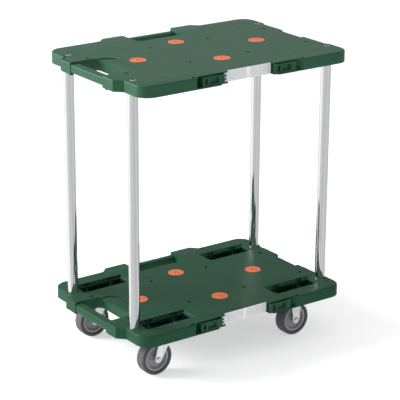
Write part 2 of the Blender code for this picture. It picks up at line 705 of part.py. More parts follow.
def both_sides(profile):
    """A profile for y above 0, followed by its mirror image."""
    return profile + [(radius, -y) for radius, y in profile[::-1]]


def add_wheel(word, x, y):
    """Tyre, core and axle bolt. Each has its origin on the axle."""
    side = [(AXLE_RADIUS + GAP, HUB_HALF), (HUB_RADIUS, HUB_HALF), HUB_FOOT]
    side += [(CORE_RADIUS - step, half) for step, half in CORE_RIM]
    side += [(CORE_RADIUS, CORE_RIM[-1][1])]
    core = turned(f"core_{word}", both_sides(side), CORE_SEGMENTS, axis="Y")
    inner, outer = CORE_RADIUS + GAP, WHEEL_RADIUS / math.cos(math.pi / TYRE_SEGMENTS)
    side = [(inner, TYRE_HALF - TYRE_INNER_BEVEL[1]), (inner + TYRE_INNER_BEVEL[0], TYRE_HALF)]
    side += [(outer - down, TYRE_HALF - across) for down, across in TYRE_SHOULDER]
    tyre = turned(f"tyre_{word}", both_sides(side), TYRE_SEGMENTS, axis="Y")
    face, head = LEG_INNER + LEG_THICK + GAP, AXLE_HEAD_RADIUS
    share, rise = AXLE_HEAD_BEVEL
    side = [(0.0, face + AXLE_HEAD), (head * share, face + AXLE_HEAD), (head, face + AXLE_HEAD * rise),
            (head, face), (AXLE_RADIUS, face)]
    axle = turned(f"axle_{word}", both_sides(side), BOLT_SEGMENTS, axis="Y", closed=False)
    for mesh, name, material in ((core, "wheel_core", "core_plastic"), (tyre, "tyre", "tyre_rubber"),
                                 (axle, "axle_bolt", "zinc_steel")):
        mesh.materials.append(finish(material))
        add_object(f"{name}_{word}", mesh, location=(x, y, WHEEL_RADIUS))


def build_rigid_caster(word, x, y):
    name = f"rigid_bracket_{word}"
    bm = bmesh.new()
    add_box(bm, (-PLATE_HALF[0], -PLATE_HALF[1], -CASTER_PLATE), (PLATE_HALF[0], PLATE_HALF[1], 0))
    bracket = add_object(name, mesh_from(bm, name), "zinc_steel", (x, y, PLATE_TOP))
    drop = WHEEL_RADIUS - PLATE_TOP
    add_legs(bracket, leg_outline(RIGID_LEG_TOP, -CASTER_PLATE / 2, 0.0, drop, LEG_TIP_RADIUS))
    bore_legs(bracket, 0.0, drop)
    add_wheel(word, x, y)


def build_swivel_caster(word, x, y):
    """Top plate with its race and kingpin, and a fork that turns about the kingpin."""
    plate_low = -CASTER_PLATE
    race_low = plate_low - RACE_HEIGHT
    crown_top = race_low - GAP
    crown_low = crown_top - CROWN_HEIGHT
    nut_room = crown_top - CROWN_SKIN
    nut_high = nut_room - GAP
    top_in, down, foot_in = RACE_ROUND
    name = f"swivel_plate_{word}"
    bm = bmesh.new()
    add_box(bm, (-PLATE_HALF[0], -PLATE_HALF[1], plate_low), (PLATE_HALF[0], PLATE_HALF[1], 0))
    plate = add_object(name, mesh_from(bm, name), "zinc_steel", (x, y, PLATE_TOP))
    profile = [(0.0, plate_low / 2), (RACE_RADIUS - top_in, plate_low / 2), (RACE_RADIUS, plate_low - down),
               (RACE_RADIUS - foot_in, race_low), (KINGPIN_RADIUS, race_low), (KINGPIN_RADIUS, nut_high),
               (KINGPIN_NUT_RADIUS, nut_high), (KINGPIN_NUT_RADIUS, nut_high - KINGPIN_NUT),
               (0.0, nut_high - KINGPIN_NUT)]
    race = bmesh.new()
    race.from_mesh(turned("race", profile, RACE_SEGMENTS, closed=False))
    boolean(plate, "race_and_kingpin", race, "UNION")

    name = f"fork_{word}"
    bore = KINGPIN_RADIUS + GAP
    profile = [(bore, crown_top), (CROWN_RADIUS - CROWN_ROUND, crown_top),
               (CROWN_RADIUS, crown_top - CROWN_ROUND), (CROWN_RADIUS, crown_low), (NUT_ROOM, crown_low),
               (NUT_ROOM, nut_room), (bore, nut_room)]
    mesh = turned(name, profile, RACE_SEGMENTS)
    fork = add_object(name, mesh, "zinc_steel", (x, y, PLATE_TOP))
    drop = WHEEL_RADIUS - PLATE_TOP
    leg_top = crown_top - CROWN_ROUND - GAP
    add_legs(fork, leg_outline(SWIVEL_LEG_TOP, leg_top, -TRAIL, drop, LEG_TIP_RADIUS))
    bore_legs(fork, -TRAIL, drop)
    add_wheel(word, x - TRAIL, y)


def main():
    clear_scene()
    build_deck("lower_deck", LOWER_TOP, upper=False)
    build_deck("upper_deck", UPPER_TOP, upper=True)
    for (word, _, _), (x, y) in zip(CORNERS, well_places()):
        build_cover(f"well_cover_{word}", DECK_X + x, DECK_Y + y, UPPER_TOP)
    build_pads()
    build_posts()
    build_bolts()
    build_latches()
    for word, sx, sy in CORNERS:
        x, y = DECK_X + sx * WELL_X, DECK_Y + sy * WELL_Y
        if sx < 0:
            build_swivel_caster(word, x, y)
        else:
            build_rigid_caster(word, x, y)


main()
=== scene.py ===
import math

import bmesh
import bpy
from mathutils import Matrix, Vector


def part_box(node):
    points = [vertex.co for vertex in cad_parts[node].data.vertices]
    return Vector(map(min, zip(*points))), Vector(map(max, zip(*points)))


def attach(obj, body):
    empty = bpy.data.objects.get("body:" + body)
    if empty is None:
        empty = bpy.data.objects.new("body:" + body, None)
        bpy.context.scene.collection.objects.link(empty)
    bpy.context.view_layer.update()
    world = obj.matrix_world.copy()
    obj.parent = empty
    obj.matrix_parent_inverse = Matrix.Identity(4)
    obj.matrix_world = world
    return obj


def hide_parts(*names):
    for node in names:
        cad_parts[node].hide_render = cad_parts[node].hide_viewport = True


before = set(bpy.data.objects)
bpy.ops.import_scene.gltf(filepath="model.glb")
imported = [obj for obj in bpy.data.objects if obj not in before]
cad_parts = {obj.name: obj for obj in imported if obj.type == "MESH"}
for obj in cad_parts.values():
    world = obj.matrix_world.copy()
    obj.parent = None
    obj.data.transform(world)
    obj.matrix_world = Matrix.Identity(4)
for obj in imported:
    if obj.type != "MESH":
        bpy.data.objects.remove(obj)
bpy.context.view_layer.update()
print("frame loaded:", len(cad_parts), "nodes")

corners = {"front_left": (-1, -1), "front_right": (1, -1), "back_left": (-1, 1), "back_right": (1, 1)}
cornerSigns = ((-1, -1), (1, -1), (1, 1), (-1, 1))     # in order round a rectangle
smallGap = 0.0003     # clearance that touching pieces keep
past = 0.002          # how far a cutting shape runs beyond a face


def middleOf(node):
    low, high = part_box(node)
    return (low + high) / 2


class Value:
    # a shader socket that takes part in Python sums
    def __init__(self, finish, link):
        self.finish, self.link = finish, link

    def sum(self, operation, first, second):
        return self.finish.node("ShaderNodeMath", {"operation": operation}, {0: first, 1: second})

    def __add__(self, other):
        return self.sum("ADD", self, other)

    def __radd__(self, other):
        return self.sum("ADD", other, self)

    def __sub__(self, other):
        return self.sum("SUBTRACT", self, other)

    def __rsub__(self, other):
        return self.sum("SUBTRACT", other, self)

    def __mul__(self, other):
        return self.sum("MULTIPLY", self, other)

    def __rmul__(self, other):
        return self.sum("MULTIPLY", other, self)

    def __truediv__(self, other):
        return self.sum("DIVIDE", self, other)

    def __pow__(self, other):
        return self.sum("POWER", self, other)

    def above(self, level):
        return self.sum("GREATER_THAN", self, level)

    def below(self, level):
        return self.sum("LESS_THAN", self, level)


class Finish:
    # one material, with its nodes added through a single method
    def __init__(self, name):
        self.material = bpy.data.materials.new(name)
        self.material.use_nodes = True
        self.tree = self.material.node_tree
        self.shader = self.tree.nodes["Principled BSDF"]
        self.place = self.node("ShaderNodeTexCoord", output="Object")

    def node(self, kind, settings=None, sockets=None, output=0):
        made = self.tree.nodes.new(kind)
        for name, value in (settings or {}).items():
            if name == "stops":
                while len(made.color_ramp.elements) < len(value):
                    made.color_ramp.elements.new(0.5)
                for stop, (position, level) in zip(made.color_ramp.elements, value):
                    stop.position = position
                    stop.color = (level, level, level, 1) if isinstance(level, (int, float)) else (*level, 1)
            else:
                setattr(made, name, value)
        for name, value in (sockets or {}).items():
            self.feed(made.inputs[name], value)
        return Value(self, made.outputs[output])

    def feed(self, socket, value):
        if isinstance(value, Value):
            self.tree.links.new(value.link, socket)
        elif isinstance(value, (tuple, list)) and socket.type == "RGBA":
            socket.default_value = (*value[:3], 1)
        else:
            socket.default_value = value

    def noise(self, scale, detail=3.0, roughness=0.5, stretch=None):
        where = self.place
        if stretch:
            where = self.node("ShaderNodeVectorMath", {"operation": "MULTIPLY"}, {0: where, 1: stretch})
        return self.node("ShaderNodeTexNoise", {"noise_dimensions": "3D"},
                         {"Vector": where, "Scale": scale, "Detail": detail, "Roughness": roughness}, "Fac")

    def ramp(self, value, stops):
        return self.node("ShaderNodeValToRGB", {"stops": stops}, {"Fac": value}, "Color")

    def spread(self, value, low, high, newLow=0.0, newHigh=1.0):
        return self.node("ShaderNodeMapRange", {"clamp": True},
                         {"Value": value, "From Min": low, "From Max": high,
                          "To Min": newLow, "To Max": newHigh})

    def mix(self, amount, first, second):
        # colour sockets of the Mix node are numbers 6 and 7, and its colour result is number 2
        return self.node("ShaderNodeMix", {"data_type": "RGBA"}, {0: amount, 6: first, 7: second}, 2)

    def axes(self):
        split = self.node("ShaderNodeSeparateXYZ", None, {0: self.place})
        outs = split.link.node.outputs
        return [Value(self, outs[i]) for i in range(3)]

    def bump(self, height, distance, strength=1.0, onto=None):
        sockets = {"Strength": strength, "Distance": distance, "Height": height}
        if onto:
            sockets["Normal"] = onto
        return self.node("ShaderNodeBump", None, sockets, "Normal")

    def set(self, **sockets):
        for name, value in sockets.items():
            words = "".join(" " + c if c.isupper() else c for c in name)
            self.feed(self.shader.inputs[(words[0].upper() + words[1:]).replace("I O R", "IOR")], value)
        return self.material


plasticLook = {"deep": (0.016, 0.078, 0.038), "pale": (0.024, 0.102, 0.054), "dust": (0.11, 0.18, 0.135),
               "roughness": 0.38, "grain": 2200.0, "grainDepth": 0.00006, "sheen": 0.20}


def mouldedPlastic(name, look, shade=1.0, wells=None):
    made = Finish(name)
    cloud = made.noise(9.0, 4.0, 0.55)
    flow = made.noise(26.0, 3.0, 0.6, stretch=(0.4, 1.6, 1.0))
    fine = made.noise(420.0, 2.0, 0.7)
    deep = tuple(c * shade for c in look["deep"])
    pale = tuple(c * shade for c in look["pale"])
    colour = made.mix(made.spread(cloud * 0.6 + flow * 0.4, 0.30, 0.72), deep, pale)
    specks = made.spread(fine, 0.60, 0.82)
    colour = made.mix(specks * 0.12, colour, look["dust"])
    lines = made.noise(95.0, 3.0, 0.6, stretch=(0.05, 1.5, 0.6))     # faint flow lines along the moulding
    colour = made.mix(made.spread(lines, 0.52, 0.74) * 0.42, colour, tuple(c * 0.62 for c in deep))
    if wells:     # painted shade: position masks darken the deep pockets, part of their far rims and the small holes
        x, y, z = made.axes()
        across = (((x * x) ** 0.5 - wells["x"]) ** 2.0) ** 0.5
        along = (((y * y) ** 0.5 - wells["y"]) ** 2.0) ** 0.5
        inside = across.below(wells["half"][0]) * along.below(wells["half"][1]) * z.above(-0.0225)
        # painted shade: the pockets are darkened towards their floor
        colour = made.mix(inside * made.spread(z, -0.0066, -0.0095, 0.0, 0.88), colour, wells["dust"])
        # painted shade on the far rim's wall of the left-hand wells, darker lower down
        side = y / ((y * y) ** 0.5 + 0.00001)
        shelf = (side * ((y * y) ** 0.5 - wells["y"])).above(0.0197) * z.above(-0.0056) * across.below(0.0685)
        shelf = shelf * along.below(0.0262) * x.below(0.0)
        colour = made.mix(shelf * made.spread(z, -0.0002, -0.0022, 0.0, 0.75), colour, wells["dust"])
        # painted shade in the small holes
        for spotX, spotY in deckHoles:
            away = (((x * x) ** 0.5 - spotX) ** 2.0 + ((y * y) ** 0.5 - spotY) ** 2.0) ** 0.5
            sunk = away.below(0.0052) * z.above(-0.0070) * made.spread(z, -0.0004, -0.0012, 0.0, 0.9)
            colour = made.mix(sunk, colour, wells["dust"])
    rubs = made.noise(60.0, 5.0, 0.75, stretch=(1.0, 0.12, 1.0))
    colour = made.mix(made.spread(rubs, 0.66, 0.84) * 0.10, colour, look["dust"])
    grain = made.noise(look["grain"], 2.0, 0.6)
    pits = made.node("ShaderNodeTexVoronoi", {"feature": "F1"},
                     {"Vector": made.place, "Scale": look["grain"] * 0.35}, "Distance")
    rough = made.spread(grain * 0.5 + cloud * 0.5, 0.3, 0.7,
                        look["roughness"] - 0.05, look["roughness"] + 0.09)
    sink = made.noise(14.0, 2.0, 0.4)      # the faint waviness of a large moulded face
    normal = made.bump(sink, 0.0016, 0.35)
    normal = made.bump(grain * 0.7 + pits * 0.3, look["grainDepth"], 0.5, normal)
    return made.set(baseColor=colour, roughness=rough, normal=normal, specularIORLevel=look["sheen"])


deckHoles = [(0.0835, 0.0815), (0.2575, 0.082), (0.155, 0.1975)]
# painted shade: the near-black colour of this table darkens the wells' pockets, far rims and small holes
wellPaintedShade = {"x": 0.1895, "y": 0.1375, "half": (0.0635, 0.0225), "dust": (0.003, 0.010, 0.006)}
rubberLook = {"bright": (0.92, 0.215, 0.085), "deep": (0.80, 0.150, 0.060), "ring": 0.0125, "dimple": 0.0042}


def padRubber(name, look):
    made = Finish(name)
    x, y, _ = made.axes()
    radius = (x * x + y * y) ** 0.5
    cloud = made.noise(120.0, 4.0, 0.6)
    colour = made.mix(made.spread(cloud, 0.3, 0.7), look["bright"], look["deep"])
    inner = made.spread(radius, look["dimple"], look["dimple"] + 0.0016, 1.0, 0.0)
    ring = made.spread(((radius - look["ring"]) ** 2.0) ** 0.5, 0.0, 0.0009, 1.0, 0.0)
    # painted shade: the centre dimple and the ring groove are darkened in colour as well as modelled
    colour = made.mix(inner * 0.7 + ring * 0.25, colour, (0.60, 0.085, 0.035))
    ribs = made.node("ShaderNodeMath", {"operation": "SINE"}, {0: radius * 5200.0})
    normal = made.bump(made.noise(2600.0, 2.0, 0.6), 0.00008, 0.5)
    normal = made.bump(ribs, 0.00006, 0.35, normal)
    return made.set(baseColor=colour, roughness=made.spread(cloud, 0.3, 0.7, 0.50, 0.66), normal=normal)


chromeLook = {"plate": (0.90, 0.905, 0.915), "roughness": 0.07}


def chromePlate(name, look):
    made = Finish(name)
    draw = made.noise(900.0, 3.0, 0.6, stretch=(1.0, 1.0, 0.01))     # drawing lines along the tube
    film = made.noise(30.0, 3.0, 0.6)
    colour = made.mix(made.spread(film, 0.35, 0.75) * 0.35, look["plate"], (0.80, 0.81, 0.825))
    rough = made.spread(draw * 0.5 + film * 0.5, 0.3, 0.7, look["roughness"] - 0.03, look["roughness"] + 0.06)
    normal = made.bump(draw, 0.00002, 0.25)
    return made.set(baseColor=colour, metallic=1.0, roughness=rough, normal=normal)


# painted reflection: a dark pinkish plating colour stands in for dark surroundings seen in the bolt heads, so
# that only the lamps give bright highlights
boltChromePaintedReflection = {"plate": (0.34, 0.31, 0.31), "roughness": 0.10}
zincLook = {"bright": (0.80, 0.815, 0.82), "dull": (0.62, 0.635, 0.645), "roughness": 0.34}


def zincPlate(name, look):
    made = Finish(name)
    cells = made.node("ShaderNodeTexVoronoi", {"feature": "F1"}, {"Vector": made.place, "Scale": 240.0},
                      "Color")
    film = made.noise(70.0, 5.0, 0.65)
    streak = made.noise(500.0, 2.0, 0.6, stretch=(1.0, 1.0, 0.06))
    tone = made.node("ShaderNodeRGBToBW", None, {0: cells}) * 0.35 + film * 0.65
    colour = made.mix(made.spread(tone, 0.25, 0.75), look["bright"], look["dull"])
    rough = made.spread(tone * 0.6 + streak * 0.4, 0.25, 0.75,
                        look["roughness"] - 0.08, look["roughness"] + 0.14)
    normal = made.bump(streak * 0.6 + film * 0.4, 0.00005, 0.4)
    return made.set(baseColor=colour, metallic=0.92, roughness=rough, normal=normal)


tyreLook = {"tread": (0.050, 0.050, 0.058), "worn": (0.110, 0.110, 0.122), "halfWidth": 0.0118}


def tyreRubber(name, look):
    made = Finish(name)
    _, y, _ = made.axes()
    side = (y * y) ** 0.5
    cloud = made.noise(55.0, 5.0, 0.65)
    dust = made.noise(500.0, 3.0, 0.7)
    tread = made.spread(side, look["halfWidth"], look["halfWidth"] + 0.0015, 1.0, 0.0)
    colour = made.mix(made.spread(cloud, 0.35, 0.7) * (tread * 0.55 + 0.25), look["tread"], look["worn"])
    colour = made.mix(made.spread(dust, 0.62, 0.8) * 0.3, colour, (0.18, 0.175, 0.17))
    normal = made.bump(made.noise(1500.0, 3.0, 0.7) * 0.6 + cloud * 0.4, 0.00012, 0.5)
    return made.set(baseColor=colour, roughness=made.spread(cloud, 0.3, 0.7, 0.55, 0.78), normal=normal)


coreLook = {"web": (0.215, 0.210, 0.225), "ring": (0.44, 0.435, 0.46), "ringRadius": 0.0300,
            "ringHalf": 0.0011}


def coreNylon(name, look):
    made = Finish(name)
    x, _, z = made.axes()
    radius = (x * x + z * z) ** 0.5
    cloud = made.noise(90.0, 4.0, 0.6)
    turned = made.node("ShaderNodeMath", {"operation": "SINE"}, {0: radius * 9000.0})
    colour = made.mix(made.spread(cloud, 0.3, 0.7), look["web"], tuple(c * 1.25 for c in look["web"]))
    ring = made.spread(((radius - look["ringRadius"]) ** 2.0) ** 0.5,
                       look["ringHalf"], look["ringHalf"] + 0.0006, 1.0, 0.0)
    colour = made.mix(ring, colour, look["ring"])
    normal = made.bump(turned, 0.00003, 0.3)
    normal = made.bump(made.noise(1800.0, 2.0, 0.6), 0.00006, 0.5, normal)
    return made.set(baseColor=colour, roughness=made.spread(cloud, 0.3, 0.7, 0.38, 0.52), normal=normal)


labelLook = {"paper": (0.80, 0.805, 0.84), "ink": (0.52, 0.525, 0.56), "bar": (0.93, 0.93, 0.94)}


def stickerFilm(name, look, length, height):
    # pale film with faint generic print: blurred marks and a clear bar, and no letters
    made = Finish(name)
    x, _, z = made.axes()
    marks = made.noise(1.0, 2.0, 0.8, stretch=(260.0, 1.0, 230.0))
    along = ((x * x) ** 0.5)
    inside = made.spread(along, length * 0.455, length * 0.465, 1.0, 0.0)
    upright = made.spread((z * z) ** 0.5, height * 0.38, height * 0.42, 1.0, 0.0)
    ink = made.spread(marks, 0.40, 0.62) * inside * upright
    bar = x.above(-length * 0.05) * x.below(length * 0.03)
    cloud = made.noise(160.0, 3.0, 0.6)
    aged = tuple(c * 0.90 for c in look["paper"])
    colour = made.mix(made.spread(cloud, 0.3, 0.7) * 0.4, look["paper"], aged)
    colour = made.mix(ink * (1 - bar) * 0.70, colour, look["ink"])
    colour = made.mix(bar * 0.7, colour, look["bar"])
    normal = made.bump(made.noise(900.0, 2.0, 0.6), 0.00003, 0.4)
    return made.set(baseColor=colour, roughness=made.spread(cloud, 0.3, 0.7, 0.32, 0.45), normal=normal)


finishes = {
    "deckPlastic": mouldedPlastic("deckPlastic", plasticLook, wells=wellPaintedShade),
    # painted shade: a darker copy of the deck plastic with less sheen, because the lower deck sits in dimmer
    # light
    "lowerPlasticPaintedShade": mouldedPlastic("lowerPlasticPaintedShade", {**plasticLook, "sheen": 0.09}, 0.82, wells=wellPaintedShade),
    "latchPlastic": mouldedPlastic("latchPlastic", plasticLook, 0.92),
    "padRubber": padRubber("padRubber", rubberLook),
    "postChrome": chromePlate("postChrome", chromeLook),
    "boltChromePaintedReflection": chromePlate("boltChromePaintedReflection", boltChromePaintedReflection),
    "zincSteel": zincPlate("zincSteel", zincLook),
    "tyreRubber": tyreRubber("tyreRubber", tyreLook),
    "coreNylon": coreNylon("coreNylon", coreLook),
}
print("finishes ready:", len(finishes))


def outlineArc(centre, radius, start, stop, steps):
    turns = [math.radians(start + (stop - start) * i / steps) for i in range(steps + 1)]
    return [(centre[0] + radius * math.cos(t), centre[1] + radius * math.sin(t)) for t in turns]


def ringPoints(radius, count, centre=(0, 0)):
    return outlineArc(centre, radius, 0, 360 - 360 / count, count - 1)


def roundedBox(middle, halfX, halfY, r, steps):
    (x, y), a, b = middle, halfX - r, halfY - r
    return (outlineArc((x + a, y - b), r, -90, 0, steps) + outlineArc((x + a, y + b), r, 0, 90, steps)
            + outlineArc((x - a, y + b), r, 90, 180, steps) + outlineArc((x - a, y - b), r, 180, 270, steps))


def prism(bm, outline, low, high, upright="Z"):
    # closed outline pushed from low to high along Z, or along Y for a side view
    def point(u, v, w):
        return (u, v, w) if upright == "Z" else (u, w, v)
    rings = [[bm.verts.new(point(u, v, w)) for u, v in outline] for w in (low, high)]
    joinRings(bm, rings, caps=True)


def joinRings(bm, rings, caps=False, closed=False):
    # a ring of one point makes a pole
    count = max(len(ring) for ring in rings)
    pairs = list(zip(rings, rings[1:])) + ([(rings[-1], rings[0])] if closed else [])
    for first, second in pairs:
        for i in range(count):
            j = (i + 1) % count
            if len(first) == 1:
                bm.faces.new((first[0], second[j], second[i]))
            elif len(second) == 1:
                bm.faces.new((first[i], first[j], second[0]))
            else:
                bm.faces.new((first[i], first[j], second[j], second[i]))
    if caps:
        bm.faces.new(rings[0][::-1])
        bm.faces.new(rings[-1])


def block(bm, low, high):
    prism(bm, [(low[0], low[1]), (high[0], low[1]), (high[0], high[1]), (low[0], high[1])], low[2], high[2])


def lathe(bm, profile, count, upright="Z", closed=True):
    # profile of (radius, height); a radius of 0 closes an end
    rings = []
    for radius, height in profile:
        spots = [(0, 0)] if radius == 0 else ringPoints(radius, count)
        rings.append([bm.verts.new((u, v, height) if upright == "Z" else (u, height, v)) for u, v in spots])
    joinRings(bm, rings, closed=closed)


def meshOf(bm, name):
    bmesh.ops.recalc_face_normals(bm, faces=bm.faces)
    made = bpy.data.meshes.new(name)
    bm.to_mesh(made)
    bm.free()
    return made


def raw(name, bm, place=(0, 0, 0)):
    made = bpy.data.objects.new(name, meshOf(bm, name))
    made.location = place
    bpy.context.scene.collection.objects.link(made)
    return made


def carve(piece, bm, operation="DIFFERENCE"):
    # one exact cut or join, taken into the mesh at once
    tool = raw("carver", bm, piece.location)
    step = piece.modifiers.new("carve", "BOOLEAN")
    step.operation, step.solver, step.object = operation, "EXACT", tool
    solid = bpy.data.meshes.new_from_object(piece.evaluated_get(bpy.context.evaluated_depsgraph_get()))
    piece.modifiers.clear()
    old = piece.data
    piece.data = solid
    solid.name = old.name
    bpy.data.meshes.remove(old)
    toolMesh = tool.data
    bpy.data.objects.remove(tool)
    bpy.data.meshes.remove(toolMesh)


def soften(piece, width, segments=2, angle=38):
    # clean flats first, so that only real edges are rounded
    bm = bmesh.new()
    bm.from_mesh(piece.data)
    bmesh.ops.remove_doubles(bm, verts=bm.verts, dist=0.00002)
    bmesh.ops.dissolve_limit(bm, angle_limit=math.radians(0.6), verts=bm.verts, edges=bm.edges)
    bm.to_mesh(piece.data)
    bm.free()
    if width:
        step = piece.modifiers.new("edges", "BEVEL")
        step.width, step.segments = width, segments
        step.limit_method, step.angle_limit = "ANGLE", math.radians(angle)
        step.use_clamp_overlap = True
        step.harden_normals = True
        step.miter_outer = "MITER_ARC"
    piece.data.shade_smooth()
    if not width:
        piece.data.set_sharp_from_angle(angle=math.radians(angle))


def smooth(mesh, angle):
    mesh.shade_smooth()
    mesh.set_sharp_from_angle(angle=math.radians(angle))


def settle(piece, finish, body, nodes=()):
    # finish, body and the plain nodes that a piece stands for
    piece.data.materials.clear()
    piece.data.materials.append(finishes[finish])
    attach(piece, body)
    if nodes:
        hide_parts(*nodes)
    return piece


deckLook = {"length": 0.590, "width": 0.410, "thick": 0.028, "cornerRadius": 0.034, "cornerSteps": 12,
            "edgeRadius": 0.0040, "edgeSteps": 5, "skin": 0.0045, "wall": 0.0030, "reach": 0.018,
            "leftTongue": 0.129, "backTongue": 0.148, "holes": deckHoles,
            "holeRadius": 0.0043, "softEdge": 0.0005}
lowDeck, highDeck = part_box("lower_deck"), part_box("upper_deck")
deckX = (highDeck[0].x + deckLook["reach"] + highDeck[1].x) / 2
deckY = (highDeck[0].y + highDeck[1].y - deckLook["reach"]) / 2
deckTops = {"lower": lowDeck[1].z, "upper": highDeck[1].z}
halfL, halfW = deckLook["length"] / 2, deckLook["width"] / 2
thick, reach = deckLook["thick"], deckLook["reach"]


def deckOutline(inset=0.0):
    r, steps = deckLook["cornerRadius"], deckLook["cornerSteps"]
    # half of the tongue's 45 degree bend
    cx, cy, slope = halfL - r, halfW - r, inset * math.tan(math.radians(22.5))
    r -= inset
    long, wide = halfL - inset, halfW - inset
    points = outlineArc((cx, -cy), r, -90, 0, steps) + outlineArc((cx, cy), r, 0, 90, steps)
    base, tip = deckLook["backTongue"] - slope, deckLook["backTongue"] - reach - slope
    points += [(base, wide), (tip, wide + reach), (-tip, wide + reach), (-base, wide)]
    points += outlineArc((-cx, cy), r, 90, 180, steps)
    base, tip = deckLook["leftTongue"] - slope, deckLook["leftTongue"] - reach - slope
    points += [(-long, base), (-long - reach, tip), (-long - reach, -tip), (-long, -base)]
    return points + outlineArc((-cx, -cy), r, 180, 270, steps)


def deckSlab(name, top):
    edge, steps = deckLook["edgeRadius"], deckLook["edgeSteps"]
    levels = [(0.0, -thick)]
    for i in range(steps + 1):
        turn = math.radians(90 * i / steps)
        levels.append((edge * (1 - math.cos(turn)), -edge * (1 - math.sin(turn))))
    bm = bmesh.new()
    rings = [[bm.verts.new((x, y, z)) for x, y in deckOutline(inset)] for inset, z in levels]
    joinRings(bm, rings, caps=True)
    return raw(name, bm, (deckX, deckY, top))


# each grip is its half depth, its drop below the deck's top, and its height as a share of its depth
openingLook = {"leftInner": 0.239, "leftHalf": 0.069, "backInner": 0.1485, "backHalf": 0.072,
               "corner": 0.014, "leftGrip": (0.011, 0.003, 0.95), "backGrip": (0.0098, 0.0080, 1.02),
               "gripRound": 0.0045, "gripRoot": 0.004, "thumbReach": 0.034, "thumbHalf": 0.062,
               "thumbDepth": 0.002, "tab": (0.008, 0.008, 0.004), "line": 0.0008, "lineLow": -0.0105,
               "linePast": 0.012}


def openingOutline(inner, half, outer):
    r = openingLook["corner"]
    return (outlineArc((inner + r, half - r), r, 90, 180, 8)
            + outlineArc((inner + r, -half + r), r, 180, 270, 8) + [(outer, -half), (outer, half)])


def cutOpenings(deck):
    look = openingLook
    bm = bmesh.new()
    shape = openingOutline(look["leftInner"], look["leftHalf"], halfL + reach + past)
    prism(bm, [(-u, v) for u, v in shape], -thick - past, past)
    shape = openingOutline(look["backInner"], look["backHalf"], halfW + reach + past)
    prism(bm, [(v, u) for u, v in shape], -thick - past, past)
    carve(deck, bm)
    bm = bmesh.new()
    low, edge = look["leftInner"] - look["thumbReach"], look["leftInner"] + past
    r = look["thumbReach"] / 2
    half = look["thumbHalf"]
    prism(bm, [(-low, half - r), (-low - r, half), (-edge, half), (-edge, -half), (-low - r, -half),
               (-low, -half + r)], -look["thumbDepth"], past)
    carve(deck, bm)


def addGrips(deck):
    look = openingLook
    bm = bmesh.new()
    grips = (("X", look["leftHalf"], look["leftGrip"]), ("Y", look["backHalf"], look["backGrip"]))
    for axis, half, (radius, drop, tall) in grips:
        place = -halfL - reach + radius if axis == "X" else halfW + reach - radius
        rings = []
        for end in (-half - look["gripRoot"], half + look["gripRoot"]):
            section = roundedBox((place, -drop - radius), radius, radius * tall, look["gripRound"], 7)
            rings.append([bm.verts.new((u, end, v) if axis == "X" else (end, u, v)) for u, v in section])
        joinRings(bm, rings, caps=True)
        sx, sy, sz = look["tab"]
        for side in (-1, 1):
            along = side * (half + sx)
            depth = (-halfL - reach + sy) if axis == "X" else (halfW + reach - sy)
            x, y = (depth, along) if axis == "X" else (along, depth)
            block(bm, (x - sx / 2, y - sy / 2, -thick - sz), (x + sx / 2, y + sy / 2, -thick + sz / 2))
    carve(deck, bm, "UNION")
    bm = bmesh.new()      # parting line along the outer face of the left bar, and a thin slit at its far end
    outer, line = -halfL - reach, look["line"]
    half = look["leftHalf"]
    block(bm, (outer - past, -half - look["linePast"], look["lineLow"]),
          (outer + line, half, look["lineLow"] + line))
    carve(deck, bm)
    bm = bmesh.new()
    block(bm, (outer - past, half - 0.0040, -0.0275), (outer + 0.0075, half - 0.0005, past))
    carve(deck, bm)


recessLook = {"front": 0.152, "right": 0.132, "topInset": 0.009, "plate": 0.003, "lugSetback": 0.007,
              "lugPast": 0.003, "latchLength": 0.060, "endGap": 0.001, "pinToBlock": 0.007, "freeGap": 0.0014,
              "pin": 0.002, "pinSetback": 0.0115, "farPinInset": 0.004, "farPinSetback": 0.012}


def recessSides():
    # name, half width of the mouth, and the map from (along, outward) to the deck's x and y
    return [("front", recessLook["front"], lambda along, out: (along, -halfW - out)),
            ("right", recessLook["right"], lambda along, out: (halfL + out, along))]


def latchSpan(mouth):
    far = mouth - reach - recessLook["endGap"]
    return far - recessLook["latchLength"], far


def hinge(mouth, side):
    # latch a's pin stands beside its block, and latch b's pin is inside the block's far end
    near, far = latchSpan(mouth)
    if side < 0:
        return near - recessLook["pinToBlock"], recessLook["pinSetback"]
    return far - recessLook["farPinInset"], recessLook["farPinSetback"]


def middleEnd(mouth, side):
    near = latchSpan(mouth)[0]
    return near - 2 * recessLook["pinToBlock"] if side < 0 else near - recessLook["freeGap"]


def cutRecesses(deck):
    look = recessLook
    middle, top, niche, lower = (bmesh.new() for _ in range(4))
    for _, mouth, place in recessSides():
        low, high = -middleEnd(mouth, -1), middleEnd(mouth, 1)
        shape = [(low, -reach), (high, -reach), (high, past), (low, past)]
        prism(middle, [place(*p) for p in shape], -thick - past, past)
        for side in (-1, 1):
            near, inset = middleEnd(mouth, side) - past / 2, look["topInset"]
            shape = [(near, -inset), (mouth - inset, -inset), (mouth + past, past), (near, past)]
            prism(top, [place(side * u, v) for u, v in shape], -look["plate"], past)
            shape = [(near, -reach), (mouth - reach, -reach), (mouth + past, past), (near, past)]
            prism(niche, [place(side * u, v) for u, v in shape], -thick + look["plate"],
                  -look["plate"] + past / 4)
            lug = latchSpan(mouth)[0] + look["lugPast"]
            setback = look["lugSetback"]
            shape = [(near, -setback), (lug, -setback), (lug + setback + past, past), (near, past)]
            prism(lower, [place(side * u, v) for u, v in shape], -thick - past,
                  -thick + look["plate"] + past / 4)
    for bm in (middle, top, niche, lower):
        carve(deck, bm)


